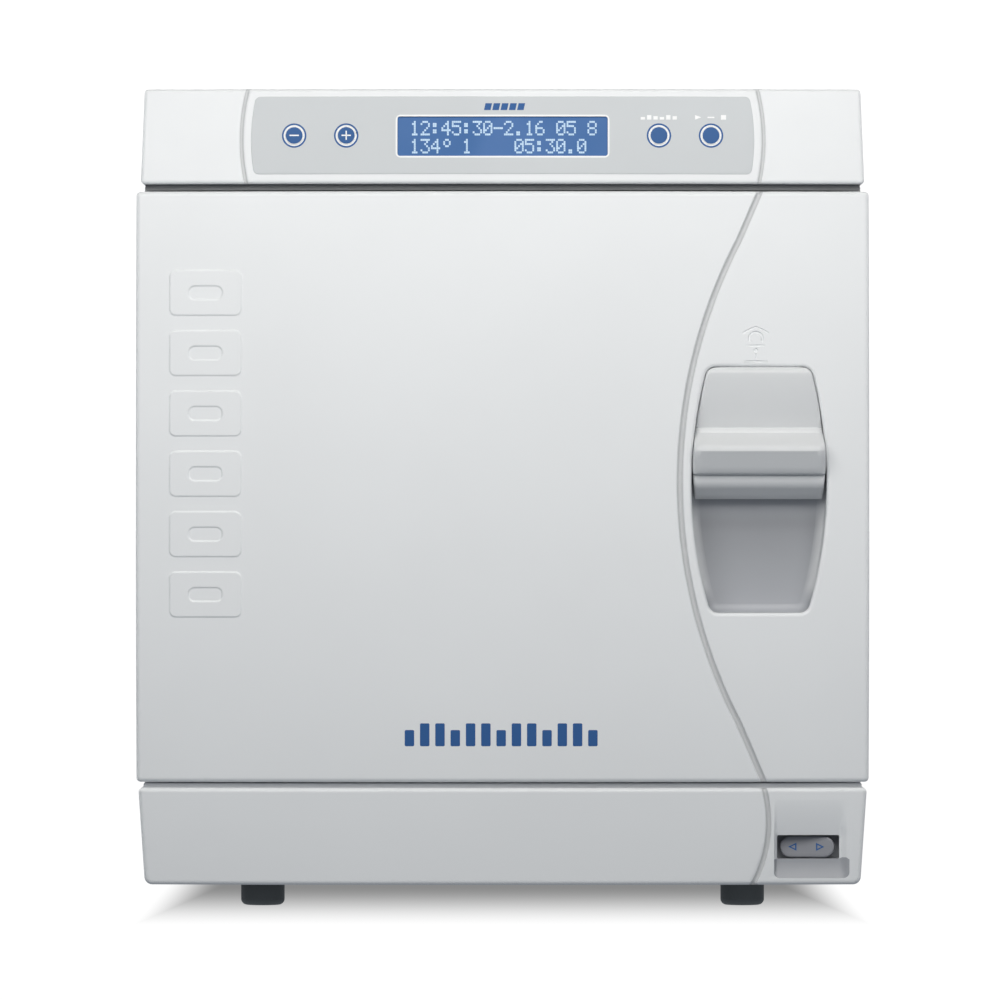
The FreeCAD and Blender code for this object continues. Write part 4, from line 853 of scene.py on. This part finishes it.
hood = Form()
hood_guides = rim_guides(hood_loop, HOOD_EDGE)
for line in hood_lines:
    hood_guides += cove_guides(line, HOOD_GROOVE_HALF, 0.9)
shell(hood, HOOD_OUTLINE, hood_loop(WALL), key_lines + [window_line], hood_guides,
      field(-205, 205, 426, 473, 6.0), hood_height, HOOD_REAR,
      painted_shade_in_cove(hood_lines, HOOD_GROOVE_HALF))
hood.piece("hood_moulding", "cabinet", COVER, ["front_hood"])

# ------------ control membrane and display

MEMBRANE_LOW, MEMBRANE_HIGH, MEMBRANE_THICK = 426.9, 472.2, 0.4
MEMBRANE_R, MEMBRANE_CORNER, MEMBRANE_EDGE = 114.5, 3.2, 0.3


def membrane_outline(inset=0.0):
    """The control strip, moved inwards: its ends follow the hood's grooves."""
    return bulging(0.0, HOOD_LINE_Z, -HOOD_LINE_X, MEMBRANE_R - inset, MEMBRANE_LOW + inset,
                   MEMBRANE_HIGH - inset, MEMBRANE_CORNER - inset, 7, 12, 60)


MEMBRANE = membrane_outline()


def on_front(proud):
    """A height function that stands proud of the crowned front."""
    return lambda x, z: front(x, z) - proud


def membrane_height(x, z):
    points = np.stack([x, z], 1)
    return front(x, z) - MEMBRANE_THICK + rim(distance(points, MEMBRANE), MEMBRANE_EDGE)


def flat_piece(form, outline, holes, height, back, dots=(), guides=(), finish=0):
    """A thin plate: front skin, back skin and edges."""
    form.skin(outline, holes, list(guides), list(dots), height, finish=finish)
    form.skin(outline, holes, [], list(dots), back, flip=True, finish=finish)
    form.band(lift(outline, height), lift(outline, back), finish=finish)
    for hole in holes:
        form.band(lift(hole, height), lift(hole, back), flip=True, finish=finish)


strip = Form()
flat_piece(strip, MEMBRANE, key_lines + [window_line], membrane_height, on_front(-0.05),
           field(-142, 142, 429, 471, 5.0), [(membrane_outline(0.15), True),
                                             (membrane_outline(0.4), True)])
strip.piece("keypad_membrane", "cabinet", ["membrane_grey"], ["control_membrane"])

RING_IN, RING_MID, RING_OUT = 5.42, 6.1, 7.1
LABEL_LOW, LABEL_HIGH, LABEL_PITCH, LABEL_BAR = 458.7, 461.4, 3.7, 2.5
TOP_LEFT, TOP_LOW, TOP_HIGH, TOP_PITCH, TOP_BAR, TOP_LEAN = -10.8, 464.2, 468.2, 4.8, 3.8, 0.9
marks = Form()


def printed(outline, holes=(), finish=0):
    """Ink on the membrane: finish 0 is white and 1 is blue."""
    flat_piece(marks, outline, list(holes), on_front(MEMBRANE_THICK + 0.06),
               on_front(MEMBRANE_THICK - 0.05), finish=finish)


for x in KEYS.values():
    printed(circle(x, KEY_Z, RING_MID, 64), [circle(x, KEY_Z, RING_IN, 64)])
    printed(circle(x, KEY_Z, RING_OUT, 64), [circle(x, KEY_Z, RING_MID, 64)], 1)
printed(rounded_box(grown(WINDOW, 0.1), 1.9, -0.9, step=4), [window_line])
for index in range(6):
    left = KEYS["program"] - 10.6 + index * LABEL_PITCH
    high = LABEL_LOW + (1.5, 2.6, 2.0)[index % 3]
    printed(box_corners(left, LABEL_LOW, left + LABEL_BAR, high))
start_x = KEYS["start"]
printed([(start_x - 9.2, LABEL_LOW), (start_x - 5.6, (LABEL_LOW + LABEL_HIGH) / 2),
         (start_x - 9.2, LABEL_HIGH)])
printed(box_corners(start_x - 2.0, 459.6, start_x + 2.0, 460.4))
printed(box_corners(start_x + 5.8, LABEL_LOW, start_x + 8.8, LABEL_HIGH))
for index in range(5):
    left = TOP_LEFT + index * TOP_PITCH
    printed([(left, TOP_LOW), (left + TOP_BAR, TOP_LOW), (left + TOP_BAR + TOP_LEAN, TOP_HIGH),
             (left + TOP_LEAN, TOP_HIGH)], finish=1)
marks.piece("keypad_print", "cabinet", ["print_white", "print_blue"])

# Behind the front: the display's face, its back and its dots.
LCD_FACE, LCD_BACK, DOT_FACE, DOT_BACK = 0.6, 2.6, 0.55, 0.62
lcd = Form()
flat_piece(lcd, rounded_box(grown(WINDOW, -0.05), 1.45, step=4), [], on_front(-LCD_FACE),
           on_front(-LCD_BACK), field(-58, 58, 440, 458, 6.0))
# Seven rows of five dots for each figure, as bits.
DIGITS = {"0": (14, 17, 19, 21, 25, 17, 14), "1": (4, 12, 4, 4, 4, 4, 14),
          "2": (14, 17, 1, 2, 4, 8, 31), "3": (31, 2, 4, 2, 1, 17, 14),
          "4": (2, 6, 10, 18, 31, 2, 2), "5": (31, 16, 30, 1, 1, 17, 14),
          "6": (6, 8, 16, 30, 17, 17, 14), "8": (14, 17, 17, 14, 17, 17, 14),
          ":": (0, 12, 12, 0, 12, 12, 0), ".": (0, 0, 0, 0, 0, 12, 12),
          "-": (0, 0, 0, 31, 0, 0, 0), "o": (6, 9, 9, 6, 0, 0, 0), " ": (0,) * 7}
DOT_X, DOT_Z, CELL, TEXT_LEFT = 1.08, 1.22, 6.05, -53.6
for text, top in (("12:45:30-2.16 05 8", 457.9), ("134o 1    05:30.0 ", 447.4)):
    for column, letter in enumerate(text):
        for row, bits in enumerate(DIGITS[letter]):
            for bit in range(5):
                if bits >> (4 - bit) & 1:
                    left = TEXT_LEFT + column * CELL + bit * DOT_X
                    high = top - row * DOT_Z
                    outline = box_corners(left, high - DOT_Z + 0.1, left + DOT_X - 0.08, high)
                    dot = lift(outline, on_front(-DOT_FACE))
                    lcd.add(dot, [(0, 1, 2, 3)], finish=1)
                    lcd.band(dot, lift(outline, on_front(-DOT_BACK)), finish=1)
lcd.piece("display_panel", "cabinet", ["lcd_blue", "lcd_dots"],
          ["display_window"], closed=False)

# Radius, and depth behind the front, of the rings of a key cap and of its skirt.
KEY_PROFILE = [(5.36, 3.2), (5.36, -0.25), (5.3, -0.42), (5.0, -0.5), (4.9, -0.55), (4.75, -0.62),
               (4.0, -0.66), (2.0, -0.69), (0.35, -0.7)]
KEY_SKIRT = [(6.5, 4.3), (6.5, 5.9)]
KEY_WHITE_RINGS, KEY_SIDES = 4, 48
# Half width and half height of the marks on the keys.
KEY_MARKS = {"minus": [(2.7, 0.38)], "plus": [(2.7, 0.38), (0.38, 2.7)]}
KEY_MARK_DEPTH, KEY_MARK_THICK = -0.74, 0.1
KEY_TILT = math.asin((KEY_Z - CROWN) / RISE)
axis = Vector((0, math.cos(KEY_TILT), -math.sin(KEY_TILT)))
up = Vector((0, math.sin(KEY_TILT), math.cos(KEY_TILT)))
across = Vector((1, 0, 0))


def key_ring(centre, radius, depth):
    turns = [2 * math.pi * k / KEY_SIDES for k in range(KEY_SIDES)]
    return [centre + across * (radius * math.cos(turn)) + up * (radius * math.sin(turn))
            + axis * depth for turn in turns]


for name, x in KEYS.items():
    cap = Form()
    centre = Vector((x, float(front(x, KEY_Z)), KEY_Z))
    rings = [key_ring(centre, *row) for row in KEY_PROFILE]
    for index, (first, second) in enumerate(zip(rings, rings[1:])):
        cap.band(first, second, finish=1 if index < KEY_WHITE_RINGS else 0)
    cap.add(rings[-1], [tuple(range(KEY_SIDES))])
    cap.add(rings[0], [tuple(range(KEY_SIDES))], flip=True, finish=1)
    cap.band(*[key_ring(centre, *row) for row in KEY_SKIRT])
    for wide, high in KEY_MARKS.get(name, []):
        plate = [centre + across * sx * wide + up * sz * high + axis * KEY_MARK_DEPTH
                 for sx, sz in box_corners(-1, -1, 1, 1)]
        cap.add(plate, [(0, 1, 2, 3)], finish=1)
        cap.band(plate, [spot + axis * KEY_MARK_THICK for spot in plate], finish=1)
    cap.piece(f"{name}_key_cap", f"{name}_key", ["key_blue", "print_white"],
              [f"key_{name}"], closed=False)

# ------------ lower panel and switch pocket

PANEL_LOW, PANEL_HIGH, PANEL_REAR = 14.5, 71.0, -250.0
PANEL_CORNERS = [(-208.0, PANEL_LOW), (208.0, PANEL_LOW), (211.5, PANEL_HIGH), (-211.5, PANEL_HIGH)]
PANEL_RADII = [4.6, 4.6, 2.6, 2.6]
PANEL_LINE_X, PANEL_LINE_Z, PANEL_LINE_R = 78.4, 50.6, 76.0
PANEL_GROOVE_HALF, PANEL_GROOVE_DEPTH = 2.0, 1.6
POCKET = POCKET_LEFT, POCKET_LOW, POCKET_RIGHT, POCKET_HIGH = 157.6, 18.4, 201.5, 64.0
POCKET_DEPTH, POCKET_CURVE, POCKET_FADE_LEFT, POCKET_FADE_RIGHT = 3.6, 1.4, 1.6, 6.0
SLOT, SLOT_BACK = (159.4, 29.6, 195.6, 43.4), -303.5
POCKET_LINE = rounded_box(POCKET, [3.3, 3.3, 1.5, 1.5], step=1.5)
panel_line = side_arc(PANEL_LINE_X, PANEL_LINE_Z, PANEL_LINE_R, 35, 61)


def panel_loop(inset=0.0):
    return rounded(PANEL_CORNERS, PANEL_RADII, inset, 5)


PANEL_OUTLINE = panel_loop()


def pocket_depth(x, z):
    """How far the switch pocket falls behind the front, in millimetres."""
    ramp = np.clip((POCKET_HIGH - z) / (POCKET_HIGH - SLOT[3]), 0, 1) ** POCKET_CURVE
    sill = np.clip((z - POCKET_LOW) / (SLOT[1] - POCKET_LOW), 0, 1)
    left = smooth((x - POCKET_LEFT) / POCKET_FADE_LEFT)
    right = smooth((POCKET_RIGHT - x) / POCKET_FADE_RIGHT)
    return POCKET_DEPTH * ramp * np.sin(sill * math.pi / 2) * left * right


def panel_height(x, z):
    points = np.stack([x, z], 1)
    y = front(x, z) + rim(distance(points, PANEL_OUTLINE), EDGE)
    y = y + groove(points, panel_line, PANEL_GROOVE_HALF, PANEL_GROOVE_DEPTH)
    return y + pocket_depth(x, z)


panel = Form()
panel_guides = rim_guides(panel_loop, EDGE) + cove_guides(panel_line, PANEL_GROOVE_HALF)
shell(panel, PANEL_OUTLINE, panel_loop(WALL), [POCKET_LINE], panel_guides,
      field(-205, 205, 19, 68, 6.0), panel_height, PANEL_REAR,
      painted_shade_in_cove([panel_line], PANEL_GROOVE_HALF))
panel.piece("lower_moulding", "cabinet", COVER, ["lower_front_panel"])

recess = Form()
slot_line = rounded_box(SLOT, 1.0, step=2)
sill_line = [([(POCKET_LEFT, SLOT[1]), (SLOT[0], SLOT[1])], False),
             ([(SLOT[2], SLOT[1]), (POCKET_RIGHT, SLOT[1])], False)]
# Painted shade: the sill below the slot, and the slot's walls and back, take the darker bowl_grey
# where the pocket lies in shade.
recess.skin(POCKET_LINE, [slot_line], sill_line,
            field(POCKET_LEFT, POCKET_RIGHT, POCKET_LOW, POCKET_HIGH, 0.8), panel_height,
            finish=lambda centres: (centres[:, 1] < SLOT[1]).astype(int))
recess.band(lift(slot_line, panel_height), lift(slot_line, SLOT_BACK), flip=True, finish=1)
recess.skin(slot_line, [], [], [], SLOT_BACK, finish=1)
recess.piece("switch_recess", "cabinet", ["cover_white", "bowl_grey"],
             ["switch_pocket"], closed=False)

ROCKER_X, ROCKER_Y, ROCKER_Z, ROCKER_TILT = 177.7, -304.3, 36.4, math.radians(-7)
ROCKER_HALF, ROCKER_HIGH = 15.9, 6.3
ROCKER_CREST, ROCKER_SLANT, ROCKER_EDGE, ROCKER_BACK = -5.6, 0.085, 1.2, -2.5
rocker = Form()
rocker_line = stadium(ROCKER_HALF, ROCKER_HIGH)


def rocker_height(x, z):
    points = np.stack([x, z], 1)
    return (ROCKER_CREST - np.abs(x) * ROCKER_SLANT
            + rim(distance(points, rocker_line), ROCKER_EDGE))


rocker_guides = [(inner_loop(rocker_line, inset), True) for inset in (0.1, 0.3, 0.6, 1.0, 1.5)]
rocker.skin(rocker_line, [], rocker_guides, field(-14, 14, -5, 5, 1.5), rocker_height)
rocker.band(lift(rocker_line, rocker_height), lift(rocker_line, ROCKER_BACK))
rocker.skin(rocker_line, [], [], [], ROCKER_BACK, flip=True)
for tip, base in ((-10.9, -6.1), (10.1, 5.3)):
    mark = [(tip, 0.0), (base, math.copysign(2.3, tip)), (base, -math.copysign(2.3, tip))]
    middle = (tip + 2 * base) / 3
    hollow = [(middle + (x - middle) * 0.5, z * 0.5) for x, z in mark]
    rocker.skin(mark, [hollow], [], [], lambda x, z: rocker_height(x, z) - 0.08, finish=1)
cos, sin = math.cos(ROCKER_TILT), math.sin(ROCKER_TILT)
rocker.points = [(ROCKER_X + x * cos - y * sin, ROCKER_Y + x * sin + y * cos, ROCKER_Z + z)
                 for x, y, z in rocker.points]
rocker.piece("rocker_face", "mains_rocker", ["rocker_grey", "print_blue"],
             ["rocker"], closed=False)

# ------------ lips in the door's seams, grey and dark for painted shade

# Name, box, nearest and farthest place behind the front, and look: grey and dark painted shade in
# the seams.
SEAM_LIPS = (("panel_lip", (-208.5, 70.4, 208.5, 73.8), 3.6, 8.0, "seam_painted_shade_grey"),
             ("hood_lip", (-207.5, 417.8, 207.5, 422.0), 6.5, 11.0, "seam_painted_shade_dark"))
for name, box, near, far, look in SEAM_LIPS:
    lip = Form()
    flat_piece(lip, rounded_box(box, 1.0), [], on_front(-near), on_front(-far))
    lip.piece(name, "cabinet", [look])

# ------------ printed stripe on the door

STRIPE_LEFT, STRIPE_LOW, STRIPE_RIGHT, STRIPE_HIGH = -56.7, 95.4, 58.4, 108.7
STRIPE_BARS, STRIPE_FILL, STRIPE_SHORT = 13, 0.62, 9.4
pitch = (STRIPE_RIGHT - STRIPE_LEFT) / STRIPE_BARS
stripe = Form()
for index in range(STRIPE_BARS):
    left = STRIPE_LEFT + index * pitch
    high = STRIPE_HIGH if index % 3 else STRIPE_LOW + STRIPE_SHORT
    outline = rounded_box((left, STRIPE_LOW, left + pitch * STRIPE_FILL, high), 0.8, step=3)
    flat_piece(stripe, outline, [], on_front(0.06), on_front(-0.05))
stripe.piece("door_print", "door", ["print_blue"])

# ------------ floor, light and camera

# The floor glows, with a painted contact shadow: it glows less near the object, and along each
# axis the glow rises between two distances from the middle, in metres.
FLOOR, GLOW_LEAST, GLOW_MOST = 60.0, 0.25, 1.04
GLOW_RISES = (("X", 0.172, 0.212), ("Y", 0.0, 0.57))
floor_mesh = bpy.data.meshes.new("floor")
floor_mesh.from_pydata([(x, y, 0) for x, y in box_corners(-FLOOR, -FLOOR, FLOOR, FLOOR)], [],
                       [(0, 1, 2, 3)])
floor = bpy.data.objects.new("floor", floor_mesh)
scene.collection.objects.link(floor)
floor_look = Nodes("floor_glow_painted_shadow", (0.03, 0.03, 0.03), 0.9, Specular_IOR_Level=0.0)
floor_look.shader.inputs["Emission Color"].default_value = (1, 1, 1, 1)
floor_look.tint(floor_look.noise(3.0, 2.0), (0.02, 0.02, 0.02))
glows = [floor_look.ranged(floor_look.maths("ABSOLUTE", floor_look.axis(name)), GLOW_LEAST,
                           GLOW_MOST, near, far, "SMOOTHSTEP") for name, near, far in GLOW_RISES]
floor_look.link(floor_look.maths("MAXIMUM", *glows), floor_look.shader.inputs["Emission Strength"])
floor_mesh.materials.append(floor_look.made)
floor.visible_diffuse = False
floor.visible_glossy = False

all_but_floor = bpy.data.collections.new("all_but_the_floor")
all_but_floor.objects.link(floor)
all_but_floor.collection_objects[0].light_linking.link_state = "EXCLUDE"


def area(name, where, target, width, depth, power, colour):
    """A soft lamp that leaves the floor unlit."""
    data = bpy.data.lights.new(name, "AREA")
    data.shape = "RECTANGLE"
    data.size, data.size_y = width, depth
    data.energy = power
    data.color = colour
    lamp = bpy.data.objects.new(name, data)
    lamp.location = where
    lamp.rotation_euler = (Vector(target) - Vector(where)).to_track_quat("-Z", "Y").to_euler()
    lamp.light_linking.receiver_collection = all_but_floor
    scene.collection.objects.link(lamp)


area("key_light", (0, -1.35, 0.97), (0, -0.34, 0.25), 1.9, 0.75, 18.0, (1, 0.99, 0.965))
area("back_light", (0.2, 1.7, 1.1), (0, 0.3, 0.25), 1.8, 0.9, 19.0, (1, 1, 1))
for side, name in ((-1, "left_light"), (1, "right_light")):
    area(name, (side * 1.9, 0.45, 1.0), (side * 0.2, 0.1, 0.25), 0.9, 0.9, 11.0, (1, 1, 1))

world = bpy.data.worlds.new("studio")
world.use_nodes = True
scene.world = world
tree = world.node_tree


def sky(colour, strength):
    return new_node(tree, "Background", Color=(*colour, 1), Strength=strength).outputs[0]


def mixed(factor, first, second):
    blend = new_node(tree, "MixShader", Fac=factor)
    tree.links.new(first, blend.inputs[1])
    tree.links.new(second, blend.inputs[2])
    return blend.outputs[0]


# The sky changes from its lower to its upper colour between two heights of a ray's direction.
SKY_LOW, SKY_HIGH = -0.25, 0.6
direction = new_node(tree, "SeparateXYZ", Vector=new_node(tree, "TexCoord").outputs["Generated"])
rise = new_node(tree, "MapRange", Value=direction.outputs["Z"], From_Min=SKY_LOW,
                From_Max=SKY_HIGH)
rise.interpolation_type = "SMOOTHSTEP"
light = mixed(rise.outputs["Result"], sky((0.88, 0.95, 1.04), 0.31), sky((0.92, 0.97, 1), 0.1))
ray = new_node(tree, "LightPath").outputs["Is Camera Ray"]
tree.links.new(mixed(ray, light, sky((1, 1, 1), 1.1)), tree.nodes["World Output"].inputs["Surface"])

scene.view_settings.view_transform = "Standard"
scene.view_settings.look = "None"

SENSOR, FRONT_SPAN, CAMERA_BACK = 36.0, 0.5782, 5.0
camera_data = bpy.data.cameras.new("camera")
camera_data.sensor_width = SENSOR
camera_data.lens = SENSOR * CAMERA_BACK / FRONT_SPAN
camera = bpy.data.objects.new("camera", camera_data)
camera.location = (-0.0015, APEX * MM - CAMERA_BACK, 0.238)
camera.rotation_euler = (math.pi / 2, 0, 0)
scene.collection.objects.link(camera)
scene.camera = camera
